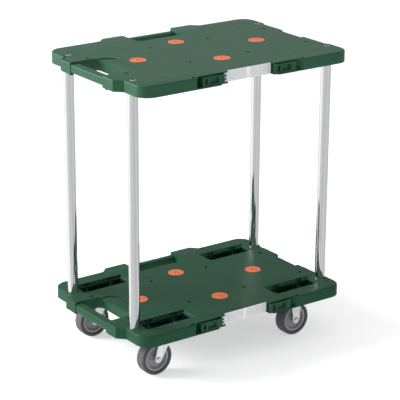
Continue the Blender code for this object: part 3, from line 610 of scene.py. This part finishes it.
wellLook = {"x": 0.1895, "y": 0.1375, "half": (0.0685, 0.026), "rim": 0.006, "depth": 0.020,
            "floorHalf": 0.046, "floor": 0.004, "seatHalf": (0.0655, 0.0275), "notchX": 0.036,
            "notchHalf": 0.005, "headHalf": 0.010, "headDepth": 0.007, "notchNear": -0.008,
            "ribs": (-0.0135, -0.0065, 0.0005, 0.0075), "ledge": 0.0016, "bumps": 4, "clipHalf": 0.004,
            "clipDrop": 0.012, "coverThick": 0.004, "coverGap": 0.00045}


def wellSpots():
    return [(sx * wellLook["x"], sy * wellLook["y"]) for sx, sy in corners.values()]


def cutWells(deck, isOpen):
    look = wellLook
    halfX, halfY = look["half"]
    rim, depth = look["rim"], look["depth"]
    rims, pockets, notches, heads, seats = (bmesh.new() for _ in range(5))
    for x, y in wellSpots():
        rings = []
        for inset, z in ((rim, -rim), (-past, past)):
            u, v = halfX - inset, halfY - inset
            rings.append([rims.verts.new((x + a * u, y + b * v, z)) for a, b in cornerSigns])
        joinRings(rims, rings, caps=True)
        end, side = halfX - rim - 0.0005, halfY - rim - past / 4
        far = y + side - look["ledge"] if isOpen else y + side
        block(pockets, (x - end, y - side, -depth), (x + end, far, -rim + past / 4))
        for notch in (x - look["notchX"], x + look["notchX"]):
            block(notches, (notch - look["notchHalf"], y + look["notchNear"], -thick - past),
                  (notch + look["notchHalf"], y + halfY, past))
            block(heads, (notch - look["headHalf"], y + halfY - rim - past, -look["headDepth"]),
                  (notch + look["headHalf"], y + halfY - past / 4, past))
        block(seats, (x - look["seatHalf"][0], y - look["seatHalf"][1], -thick - past),
              (x + look["seatHalf"][0], y + look["seatHalf"][1], -depth - look["floor"]))
    for bm in (rims, pockets, notches, heads, seats):
        carve(deck, bm)
    if isOpen:
        addWellRibs(deck)


def addWellRibs(deck):
    # stiffening ribs over the end ramps, and small stops on the far rim
    look = wellLook
    halfX, halfY = look["half"]
    bm = bmesh.new()
    for x, y in wellSpots():
        for side in (-1, 1):
            for offset in look["ribs"]:
                # each rib's top runs along the slope from the rim down to the floor
                start, stop = x + side * halfX, x + side * look["floorHalf"]
                shape = [(start, -0.0045 - look["rim"]), (start, -look["depth"] - 0.001),
                         (stop, -look["depth"] - 0.001), (stop, -look["depth"] + 0.0015),
                         (x + side * (halfX - look["rim"] - 0.0005), -look["rim"] - 0.0008)]
                prism(bm, shape, y + offset - 0.0009, y + offset + 0.0009, "Y")
        for i in range(look["bumps"]):
            u = x + (i - (look["bumps"] - 1) / 2) * 0.0130
            edge = y + halfY - look["rim"]
            block(bm, (u - 0.0030, edge - 0.0020, -look["rim"] - 0.004),
                  (u + 0.0030, edge + 0.0040, -look["rim"] + 0.0030))
    carve(deck, bm, "UNION")


cellLook = {"column": 0.1155, "rib": 0.0026, "tongueWall": 0.014}


def cellBoxes():
    look, wall = cellLook, deckLook["wall"]
    rib = look["rib"] / 2
    edge = openingLook["leftInner"] - wall
    halfX, halfY = wellLook["half"]
    row = wellLook["y"] - halfY - wall - rib
    columns = [-edge - rib, -look["column"], 0.0, look["column"], edge + rib]
    fine = [columns[0] + (columns[-1] - columns[0]) * i / 8 for i in range(9)]
    rows = [-row + 2 * row * i / 6 for i in range(7)]
    cells = [(a + rib, b - rib, c + rib, d - rib)
             for a, b in zip(fine, fine[1:]) for c, d in zip(rows, rows[1:])]
    front, back = halfW - reach - wall, openingLook["backInner"] - wall
    inside = [columns[1] + (columns[3] - columns[1]) * i / 4 for i in range(5)]
    for a, b in zip(inside, inside[1:]):
        cells += [(a + rib, b - rib, -front, -row - rib), (a + rib, b - rib, row + rib, back)]
    beyond, plain = wellLook["y"] + halfY + wall, halfW - wall
    blockX, blockY = openingLook["backHalf"] + wall, openingLook["leftHalf"] + wall
    middle, far = recessLook["front"] + wall, wellLook["x"] + halfX - wall
    spans = [(middle, wellLook["x"] - rib), (wellLook["x"] + rib, far)]
    for side in (-1, 1):
        for a, b in spans:
            a, b = sorted((side * a, side * b))
            cells += [(a, b, -plain, -beyond), (a, b, beyond, plain)]
        c, d = sorted((side * blockY, side * (row - rib)))
        cells.append((-halfL - reach + look["tongueWall"], columns[0] - rib, c, d))
        a, b = sorted((side * blockX, side * (columns[3] - rib)))
        cells.append((a, b, back + wall, halfW + reach - look["tongueWall"]))
        c, d = sorted((side * rib, side * (row / 2 - rib)))
        cells.append((columns[4] + rib, halfL - reach - wall, c, d))
    return cells


def punch(deck, spots, radius, low, high, count):
    bm = bmesh.new()
    for spot in spots:
        prism(bm, ringPoints(radius, count, spot), low, high)
    carve(deck, bm)


postLook = {"x": 0.277, "y": 0.1365, "radius": 0.0127, "wall": 0.0015, "socket": 0.016, "roof": 0.010,
            "plug": 0.012, "sides": 72}
boltLook = {"shank": 0.005, "head": 0.0105, "height": 0.0045, "seat": 0.0032, "footSeat": 0.006,
            "length": 0.016, "pitch": 0.00125, "hexRadius": 0.0035, "hexDepth": 0.0027, "sides": 48}
padLook = {"radius": 0.020, "seat": 0.0022, "proud": 0.0008, "sides": 72,
           "spots": {"left": (-0.1715, 0), "right": (0.1715, 0), "front": (0, -0.0935), "back": (0, 0.0935)}}


def addGrooves(deck):
    # fine slanted grooves on the far chamfer of the left tongue
    bm = bmesh.new()
    for i in range(5):
        u = -halfL - 0.0005 - i * 0.0034
        v = deckLook["leftTongue"] - 0.0008 + (u + halfL)
        shape = [(u - 0.0007, v - 0.012), (u + 0.0007, v - 0.012), (u + 0.0067, v + 0.004),
                 (u + 0.0053, v + 0.004)]
        prism(bm, shape, -0.0012, past)
    carve(deck, bm)


def makeDeck(name, node, top, upper):
    deck = deckSlab(name, top)
    cutOpenings(deck)
    cutRecesses(deck)
    addGrips(deck)
    cutWells(deck, not upper)
    bm = bmesh.new()
    for a, b, c, d in cellBoxes():
        block(bm, (a, c, -thick - past), (b, d, -deckLook["skin"]))
    carve(deck, bm)
    holes = [(sx * x, sy * y) for x, y in deckLook["holes"] for sx, sy in corners.values()]
    punch(deck, holes, deckLook["holeRadius"], -0.006, past, 20)
    spots, rubber = padLook["spots"].values(), padLook["radius"] + smallGap
    punch(deck, spots, rubber, -padLook["seat"], past, padLook["sides"])
    posts = [(sx * postLook["x"], sy * postLook["y"]) for sx, sy in corners.values()]
    tube, bore = postLook["radius"] + smallGap, boltLook["shank"] + smallGap
    head = boltLook["head"] + smallGap
    if upper:
        punch(deck, posts, tube, -thick - past, -postLook["roof"], 48)
        punch(deck, posts, bore, -postLook["roof"] - past, past, 32)
        punch(deck, posts, head, -boltLook["seat"], past, 48)
    else:
        punch(deck, posts, tube, -postLook["socket"], past, 48)
        punch(deck, posts, bore, -thick - past, -postLook["socket"] + past, 32)
        punch(deck, posts, head, -thick - past, -thick + boltLook["footSeat"], 48)
    pins = []
    for _, mouth, place in recessSides():
        for side in (-1, 1):
            along, setback = hinge(mouth, side)
            pins.append(place(side * along, -setback))
    punch(deck, pins, recessLook["pin"] + smallGap, -thick - past, -recessLook["plate"] / 2, 16)
    addGrooves(deck)
    soften(deck, deckLook["softEdge"])
    # the lower deck takes the darker copy, which is painted shade
    return settle(deck, "deckPlastic" if upper else "lowerPlasticPaintedShade", "frame", [node])


for level, top in deckTops.items():
    made = makeDeck(level + "DeckMoulding", level + "_deck", top, level == "upper")
    print(level, "deck:", len(made.data.polygons), "faces")


def makeCover(corner, x, y, top):
    look = wellLook
    halfX, halfY = look["half"][0] - look["coverGap"], look["half"][1] - look["coverGap"]
    thickness = look["coverThick"]
    bm = bmesh.new()
    rings = []
    for inset, z in ((thickness, -thickness), (0.0006, -0.0006), (0.0, -0.0002), (0.0002, 0.0)):
        rings.append([bm.verts.new((a * (halfX - inset), b * (halfY - inset), z)) for a, b in cornerSigns])
    joinRings(bm, rings, caps=True)
    cover = raw("wellCover_" + corner, bm, (x, y, top))
    bm = bmesh.new()
    far = halfY - look["rim"]
    for notch in (-look["notchX"], look["notchX"]):
        block(bm, (notch - look["clipHalf"], far - look["rim"], -look["clipDrop"]),
              (notch + look["clipHalf"], far, -thickness / 2))
    carve(cover, bm, "UNION")
    soften(cover, 0.0002)
    settle(cover, "deckPlastic", "frame", ["well_cover_" + corner])


for corner in corners:
    spot = middleOf("well_cover_" + corner)
    makeCover(corner, spot.x, spot.y, deckTops["upper"])
print("well covers ready")


def makePads():
    look = padLook
    r, proud = look["radius"], look["proud"]
    profile = [(0, proud - 0.0010), (0.0026, proud - 0.0010), (0.0031, proud - 0.0009),
               (0.0040, proud - 0.0002), (0.0046, proud), (0.0118, proud), (0.0121, proud - 0.00025),
               (0.0129, proud - 0.00025), (0.0132, proud), (r - 0.0013, proud),
               (r - 0.0006, proud - 0.00015), (r - 0.0002, proud - 0.0005), (r, 0.0),
               (r, smallGap - look["seat"]), (0, smallGap - look["seat"])]
    bm = bmesh.new()
    lathe(bm, profile, look["sides"], closed=False)
    shared = meshOf(bm, "padMesh")
    smooth(shared, 50)
    for level, top in deckTops.items():
        for word, (x, y) in look["spots"].items():
            pad = bpy.data.objects.new(f"pad_{level}_{word}_rubber", shared.copy())
            pad.location = (deckX + x, deckY + y, top)
            bpy.context.scene.collection.objects.link(pad)
            settle(pad, "padRubber", "frame", [f"pad_{level}_{word}"])


makePads()
print("pads ready")


def makePost(corner):
    look = postLook
    low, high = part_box("post_" + corner)
    spot = middleOf("post_" + corner)
    bore, outer = boltLook["shank"] + smallGap, look["radius"]
    inner, a, b = outer - look["wall"], low.z, high.z
    profile = [(bore, a), (outer - 0.0004, a), (outer, a + 0.0004), (outer, b - 0.0004), (outer - 0.0004, b),
               (bore, b), (bore, b - look["plug"]), (inner, b - look["plug"]), (inner, a + look["plug"]),
               (bore, a + look["plug"])]
    bm = bmesh.new()
    lathe(bm, profile, look["sides"])
    post = raw("postTube_" + corner, bm, (spot.x, spot.y, 0))
    smooth(post.data, 38)
    settle(post, "postChrome", "frame", ["post_" + corner])


def boltMesh():
    look = boltLook
    head, height, sides = look["head"], look["height"], look["sides"]
    bm = bmesh.new()
    profile = [(0, height)]
    for i in range(1, 9):       # domed button head
        turn = math.radians(90 * i / 8)
        profile.append((head * math.sin(turn), smallGap + (height - smallGap) * math.cos(turn) ** 0.8
                        if i < 8 else smallGap + 0.0004))
    profile += [(head, smallGap), (look["shank"], smallGap)]
    z, pitch = smallGap, look["pitch"]
    while z > -look["length"] + 0.0013:     # plain rings in place of a thread, inside the bore
        profile += [(look["shank"] - 0.0006, z - 0.0006), (look["shank"], z - pitch)]
        z -= pitch
    profile += [(look["shank"] - 0.0008, -look["length"]), (0, -look["length"])]
    lathe(bm, profile, sides, closed=False)
    return bm


def makeBolts(corner):
    look = boltLook
    for word, flip in (("top", False), ("foot", True)):
        node = f"{word}_bolt_{corner}"
        low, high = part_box(node)
        spot = middleOf(node)
        z = low.z + look["length"] if not flip else high.z - look["length"]
        bolt = raw(f"{word}Bolt_{corner}", boltMesh(), (spot.x, spot.y, z))
        bm = bmesh.new()
        prism(bm, ringPoints(look["hexRadius"], 6), look["height"] - look["hexDepth"], look["height"] + past)
        carve(bolt, bm)
        soften(bolt, 0)
        if flip:
            bolt.data.transform(Matrix.Rotation(math.pi, 4, "X"))
        settle(bolt, "boltChromePaintedReflection", "frame", [node])


for corner in corners:
    makePost(corner)
    makeBolts(corner)
print("posts and bolts ready")


latchLook = {"front": -0.0015, "back": -0.0155, "zGap": 0.0005, "barrel": 0.0042,
             "knuckles": [(-0.0110, -0.0090), (-0.0190, -0.0170)],
             "sleeves": [(-0.0080, -0.0046), (-0.0158, -0.0122), (-0.0236, -0.0202)], "sleeve": 0.0034,
             "windowDepth": 0.007, "windowMargin": 0.0035,
             "windows": [(0.0055, 0.0135), (0.019, 0.044)],
             "trough": 0.0050, "softEdge": 0.0005}


def makeLatch(level, sideName, word, mouth, place, side, top):
    look = latchLook
    pin, setback = hinge(mouth, side)
    pivot = place(side * pin, -setback)
    low, high = -thick + recessLook["plate"] + look["zGap"], -recessLook["plate"] - look["zGap"]
    near, far = latchSpan(mouth)

    def local(along, out):
        x, y = place(side * along, out)
        return (x - pivot[0], y - pivot[1])

    def panel(bm, u0, u1, out0, out1, z0, z1):
        prism(bm, [local(*p) for p in [(u0, out0), (u1, out0), (u1, out1), (u0, out1)]], z0, z1)

    front, back = look["front"], look["back"]
    name = f"latch_{level}_{sideName}_{word}"
    bm = bmesh.new()
    panel(bm, near, far, front, back, low, high)
    latch = raw(name + "_moulding", bm, (deckX + pivot[0], deckY + pivot[1], top))
    if side < 0:
        bm = bmesh.new()
        for z0, z1 in look["knuckles"]:
            arm = outlineArc((pin, -setback), look["barrel"], 90, 270, 14)
            arm += [(near + 0.001, -setback - look["barrel"]), (near + 0.001, -setback + look["barrel"])]
            prism(bm, [local(*p) for p in arm], z0, z1)
        carve(latch, bm, "UNION")
    bm = bmesh.new()
    prism(bm, ringPoints(recessLook["pin"] + smallGap, 20), low - past, high + past)
    carve(latch, bm)
    bm = bmesh.new()
    for start, stop in look["windows"]:     # in the same order along both latches of a recess
        u0, u1 = (far - start, far - stop) if side < 0 else (near + start, near + stop)
        panel(bm, u0, u1, front + past, front - look["windowDepth"], low + look["windowMargin"],
              high - look["windowMargin"])
    carve(latch, bm)
    # a shallow step round the windows, a trough in the top face, and two grip lines on the plain end
    bm = bmesh.new()
    u0, u1 = (far - 0.0035, near + 0.0125) if side < 0 else (near + 0.0035, far - 0.0125)
    panel(bm, u0, u1, front + past, front - 0.0008, low + 0.0018, high - 0.0018)
    panel(bm, near + 0.0016, far - 0.0016, front - 0.0016, back + 0.0012,
          high - look["trough"], high + past)
    grip = near if side < 0 else far - 0.0080
    for i in range(2):
        panel(bm, grip + 0.003 + 0.003 * i, grip + 0.0040 + 0.003 * i, front + past, front - 0.0007,
              low + 0.004, high - 0.004)
    carve(latch, bm)
    soften(latch, look["softEdge"])
    settle(latch, "latchPlastic", "swing_" + name, [name])
    pinNode = f"latch_pin_{level}_{sideName}_{word}"
    pinLow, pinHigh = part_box(pinNode)
    r = recessLook["pin"]
    bm = bmesh.new()
    profile = [(0, pinHigh.z), (r - 0.0004, pinHigh.z), (r, pinHigh.z - 0.0004)]
    if side < 0:      # rolled sleeves between the knuckles
        for z0, z1 in look["sleeves"]:
            sleeve = look["sleeve"]
            profile += [(r, top + z1), (sleeve - 0.0005, top + z1), (sleeve, top + z1 - 0.0005),
                        (sleeve, top + z0 + 0.0005), (sleeve - 0.0005, top + z0), (r, top + z0)]
    profile += [(r, pinLow.z + 0.0004), (r - 0.0004, pinLow.z), (0, pinLow.z)]
    lathe(bm, profile, 24, closed=False)
    rod = raw(f"latchPin_{level}_{sideName}_{word}", bm, (deckX + pivot[0], deckY + pivot[1], 0))
    soften(rod, 0)
    settle(rod, "postChrome", "frame", [pinNode])


for level, top in deckTops.items():
    for sideName, mouth, place in recessSides():
        for side, word in ((-1, "a"), (1, "b")):
            makeLatch(level, sideName, word, mouth, place, side, top)
print("latches ready")


labelSize = {"start": -0.0565, "stop": 0.0697, "low": -0.0277, "high": -0.0008, "thick": 0.00035,
             "corner": 0.0015}


def makeLabel(level, top):
    look = labelSize
    length, height = look["stop"] - look["start"], look["high"] - look["low"]
    if "labelFilm" not in finishes:
        finishes["labelFilm"] = stickerFilm("labelFilm", labelLook, length, height)
    bm = bmesh.new()
    prism(bm, roundedBox((0, 0), length / 2, height / 2, look["corner"], 5), 0, look["thick"], "Y")
    middle = ((look["start"] + look["stop"]) / 2, (look["low"] + look["high"]) / 2)
    back = deckY - halfW + reach - look["thick"] - 0.00005
    label = raw(f"label_{level}_film", bm, (deckX + middle[0], back, top + middle[1]))
    smooth(label.data, 40)
    label.data.materials.append(finishes["labelFilm"])
    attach(label, "frame")


for level, top in deckTops.items():
    makeLabel(level, top)
print("labels ready")


casterLook = {"wheelRadius": 0.0415, "tyreHalf": 0.0145, "coreRadius": 0.0315, "coreRim": 0.0118,
              "hubHalf": 0.0155, "hubRadius": 0.0085, "axle": 0.004, "legInner": 0.0165, "legThick": 0.0025,
              "tip": 0.0092, "rigidTop": (-0.017, 0.017), "swivelTop": (-0.0306, 0.0053),
              "plateHalf": (0.030, 0.025), "plateThick": 0.0025, "plateCorner": 0.005, "race": 0.021,
              "raceHeight": 0.0075, "crown": 0.022, "crownHeight": 0.009, "crownSkin": 0.005,
              "kingpin": 0.005, "nut": 0.008, "nutHeight": 0.003, "nutRoom": 0.010, "head": 0.0056,
              "headLength": 0.004, "trail": 0.034, "sides": 96}


def bothSides(profile):
    return profile + [(radius, -y) for radius, y in profile[::-1]]


def makeWheel(corner):
    look = casterLook
    spot = middleOf("tyre_" + corner)
    outer, half, core = look["wheelRadius"], look["tyreHalf"], look["coreRadius"]
    inner = core + smallGap
    profile = [(inner, half - 0.0018), (inner + 0.0008, half - 0.0006), (inner + 0.0022, half - 0.0001),
               (inner + 0.0034, half), (outer - 0.0024, half - 0.0002), (outer - 0.0014, half - 0.0009),
               (outer - 0.0006, half - 0.0020), (outer - 0.0001, half - 0.0036), (outer, half - 0.0050)]
    bm = bmesh.new()
    lathe(bm, bothSides(profile), look["sides"], "Y")
    tyre = raw("tyreRing_" + corner, bm, spot)
    smooth(tyre.data, 60)
    settle(tyre, "tyreRubber", "wheel_" + corner, ["tyre_" + corner])
    bore, hub, rim = look["axle"] + smallGap, look["hubHalf"], look["coreRim"]
    profile = [(bore, hub), (look["hubRadius"] - 0.0008, hub), (look["hubRadius"], hub - 0.0008),
               (look["hubRadius"] + 0.0010, 0.0068), (look["hubRadius"] + 0.0022, 0.0060),
               (core - 0.0085, 0.0062), (core - 0.0070, 0.0068), (core - 0.0058, 0.0105),
               (core - 0.0050, rim), (core - 0.0034, rim), (core - 0.0030, rim - 0.0010),
               (core - 0.0020, rim - 0.0010), (core - 0.0016, rim),
               (core - 0.0003, rim), (core, rim - 0.0003)]
    bm = bmesh.new()
    lathe(bm, bothSides(profile), look["sides"], "Y")
    hubPiece = raw("wheelCore_" + corner, bm, spot)
    soften(hubPiece, 0, angle=32)
    settle(hubPiece, "coreNylon", "wheel_" + corner, ["wheel_core_" + corner])
    return spot


def makeAxle(corner, spot, body):
    look = casterLook
    face, head = look["legInner"] + look["legThick"] + smallGap, look["head"]
    length, shank = look["headLength"], look["axle"]
    dome = [(0, 0.62), (0.34, 0.62), (0.40, 0.97), (0.48, 1), (0.72, 0.97), (0.90, 0.82), (1, 0.55)]
    profile = [(head * share, face + length * rise) for share, rise in dome]
    profile += [(head, face + 0.0009), (head, face), (shank, face)]
    bm = bmesh.new()
    lathe(bm, bothSides(profile), 48, "Y", closed=False)
    axle = raw("axleRivet_" + corner, bm, spot)
    smooth(axle.data, 40)
    settle(axle, "zincSteel", body, ["axle_bolt_" + corner])


def legShape(top, topZ, tipX, tipZ, radius):
    def tangent(px, pz, turn):
        away = math.atan2(pz - tipZ, px - tipX)
        return math.degrees(away + turn * math.acos(radius / math.hypot(px - tipX, pz - tipZ)))
    start, stop = tangent(top[1], topZ, -1), tangent(top[0], topZ, 1)
    return [(top[0], topZ), (top[1], topZ)] + outlineArc((tipX, tipZ), radius, start, stop - 360, 24)


def addLegs(piece, shape, axleX, axleZ):
    look = casterLook
    inner, thickness = look["legInner"], look["legThick"]
    bm = bmesh.new()
    for side in (-1, 1):
        y0, y1 = sorted((side * inner, side * (inner + thickness)))
        prism(bm, shape, y0, y1, "Y")
    carve(piece, bm, "UNION")
    bm = bmesh.new()
    far = inner + thickness + past
    prism(bm, ringPoints(look["axle"] + smallGap, 32, (axleX, axleZ)), -far, far, "Y")
    carve(piece, bm)


def makeCaster(corner):
    look = casterLook
    swivel = corners[corner][0] < 0
    node = ("swivel_plate_" if swivel else "rigid_bracket_") + corner
    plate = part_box(node)
    top, spot = plate[1].z, makeWheel(corner)
    x = spot.x + look["trail"] if swivel else spot.x
    thickness, (halfX, halfY) = look["plateThick"], look["plateHalf"]
    bm = bmesh.new()
    prism(bm, roundedBox((0, 0), halfX, halfY, look["plateCorner"], 6), -thickness, 0)
    body = "fork_body_" + corner if swivel else "frame"
    if not swivel:
        bracket = raw("rigidBracket_" + corner, bm, (x, spot.y, top))
        drop = spot.z - top
        shape = legShape(look["rigidTop"], -thickness / 2, 0.0, drop, look["tip"])
        addLegs(bracket, shape, 0.0, drop)
        soften(bracket, 0.0006, 3)
        settle(bracket, "zincSteel", body, [node])
    else:
        base = raw("swivelPlate_" + corner, bm, (x, spot.y, top))
        raceLow = -thickness - look["raceHeight"]
        crownTop = raceLow - smallGap
        crownLow = crownTop - look["crownHeight"]
        nutRoom = crownTop - look["crownSkin"]
        nutHigh = nutRoom - smallGap
        race, pin, nut = look["race"], look["kingpin"], look["nut"]
        profile = [(0, -thickness / 2), (race - 0.003, -thickness / 2),
                   (race - 0.0022, -thickness - 0.0008), (race - 0.0008, -thickness - 0.0020),
                   (race, -thickness - 0.0036), (race, raceLow + 0.0016), (race - 0.0008, raceLow),
                   (pin, raceLow), (pin, nutHigh), (nut, nutHigh),
                   (nut, nutHigh - look["nutHeight"] + 0.0004), (nut - 0.0004, nutHigh - look["nutHeight"]),
                   (0, nutHigh - look["nutHeight"])]
        bm = bmesh.new()
        lathe(bm, profile, 64, closed=False)
        carve(base, bm, "UNION")
        soften(base, 0.0004)
        settle(base, "zincSteel", "frame", [node])
        crown = look["crown"]
        profile = [(pin + smallGap, crownTop), (crown - 0.0035, crownTop),
                   (crown - 0.0014, crownTop - 0.0006), (crown - 0.0004, crownTop - 0.0018),
                   (crown, crownTop - 0.0035), (crown, crownLow),
                   (look["nutRoom"], crownLow), (look["nutRoom"], nutRoom), (pin + smallGap, nutRoom)]
        bm = bmesh.new()
        lathe(bm, profile, 64)
        fork = raw("forkSteel_" + corner, bm, (x, spot.y, top))
        drop = spot.z - top
        shape = legShape(look["swivelTop"], crownTop - 0.0033, -look["trail"], drop, look["tip"])
        addLegs(fork, shape, -look["trail"], drop)
        soften(fork, 0.0006, 3)
        settle(fork, "zincSteel", body, ["fork_" + corner])
    makeAxle(corner, spot, body)


for corner in corners:
    makeCaster(corner)
print("casters ready")


studioLook = {"floor": (0.86, 0.86, 0.86), "glow": 0.58, "world": 0.52, "key": 150.0, "fill": 5.0,
              "top": 12.0,
              "bands": [(0.0, 0.60), (0.10, 0.62), (0.20, 0.50), (0.30, 0.62), (0.42, 0.54), (0.60, 0.46),
                        (0.66, 0.80), (0.80, 0.82), (0.84, 1.0), (0.97, 1.0), (1.0, 0.66)]}


def makeReflector():
    # glowing card flat on the floor that only reflections see: its bands, painted by direction, are painted
    # reflections that give bright plating its soft grey bands
    bm = bmesh.new()
    rings = []
    for radius in (0.42, 0.5, 1.0, 2.5, 8.0):
        rings.append([bm.verts.new((x, y, 0.0004)) for x, y in ringPoints(radius, 96)])
    joinRings(bm, rings)
    card = raw("reflectorCard", bm)
    paint = Finish("reflectorPaint")
    x, y, _ = paint.axes()
    turn = paint.node("ShaderNodeMath", {"operation": "ARCTAN2"}, {0: y, 1: x}) / (2 * math.pi) + 0.5
    wave = paint.noise(2.2, 2.0, 0.5) * 0.05
    tone = paint.ramp(turn + wave - 0.025, studioLook["bands"])
    card.data.materials.append(paint.set(baseColor=(0.02, 0.02, 0.02), roughness=0.9, specularIORLevel=0.0,
                                         emissionColor=tone, emissionStrength=1.0))
    card.visible_camera = card.visible_diffuse = False
    card.visible_shadow = card.visible_transmission = False
    return card


def makeStudio():
    bpy.context.scene.view_settings.view_transform = "Standard"
    bm = bmesh.new()
    bmesh.ops.create_grid(bm, x_segments=1, y_segments=1, size=14.0)
    floor = raw("paleFloor", bm)
    paint = Finish("floorPaint")
    grain = paint.noise(3.0, 3.0, 0.5)
    scuffed = tuple(c * 0.985 for c in studioLook["floor"])
    tone = paint.mix(paint.spread(grain, 0.3, 0.7), studioLook["floor"], scuffed)
    floor.data.materials.append(paint.set(baseColor=tone, roughness=0.9, specularIORLevel=0.1,
                                          emissionColor=tone, emissionStrength=studioLook["glow"]))
    makeReflector()
    world = bpy.data.worlds.new("paleStudio")
    world.use_nodes = True
    back = world.node_tree.nodes["Background"]
    back.inputs["Color"].default_value = (1.0, 1.0, 1.0, 1)
    back.inputs["Strength"].default_value = studioLook["world"]
    bpy.context.scene.world = world


def softLight(name, place, aim, size, power):
    lamp = bpy.data.lights.new(name, "AREA")
    lamp.shape, lamp.size, lamp.size_y = "RECTANGLE", size[0], size[1]
    lamp.energy = power
    made = bpy.data.objects.new(name, lamp)
    made.location = place
    made.rotation_mode = "QUATERNION"
    made.rotation_quaternion = (Vector(aim) - Vector(place)).to_track_quat("-Z", "Y")
    bpy.context.scene.collection.objects.link(made)


cameraLook = {"place": (-2.2612, -3.1856, 1.7069), "azimuth": -35.62, "elevation": 19.18, "roll": 0.28,
              "lens": 153.0, "sensor": 36.0}


def makeCamera():
    look = cameraLook
    camera = bpy.data.cameras.new("studioCamera")
    camera.sensor_width, camera.lens = look["sensor"], look["lens"]
    camera.clip_start, camera.clip_end = 0.05, 100
    made = bpy.data.objects.new("studioCamera", camera)
    a, e = math.radians(look["azimuth"]), math.radians(look["elevation"])
    back = Vector((math.sin(a) * math.cos(e), -math.cos(a) * math.cos(e), math.sin(e)))
    made.rotation_mode = "QUATERNION"
    turn = (-back).to_track_quat("-Z", "Y")
    made.rotation_quaternion = turn @ Matrix.Rotation(math.radians(look["roll"]), 4, "Z").to_quaternion()
    made.location = look["place"]
    bpy.context.scene.collection.objects.link(made)
    bpy.context.scene.camera = made


makeStudio()
softLight("keySoftbox", (-2.6, 1.9, 1.5), (0, 0, 0.4), (1.5, 1.8), studioLook["key"])
softLight("fillSoftbox", (0.6, -3.2, 1.2), (0, 0, 0.4), (1.8, 1.8), studioLook["fill"])
softLight("topSoftbox", (-0.4, 0.3, 2.8), (0, 0, 0.4), (1.8, 1.4), studioLook["top"])
makeCamera()
print("studio ready")
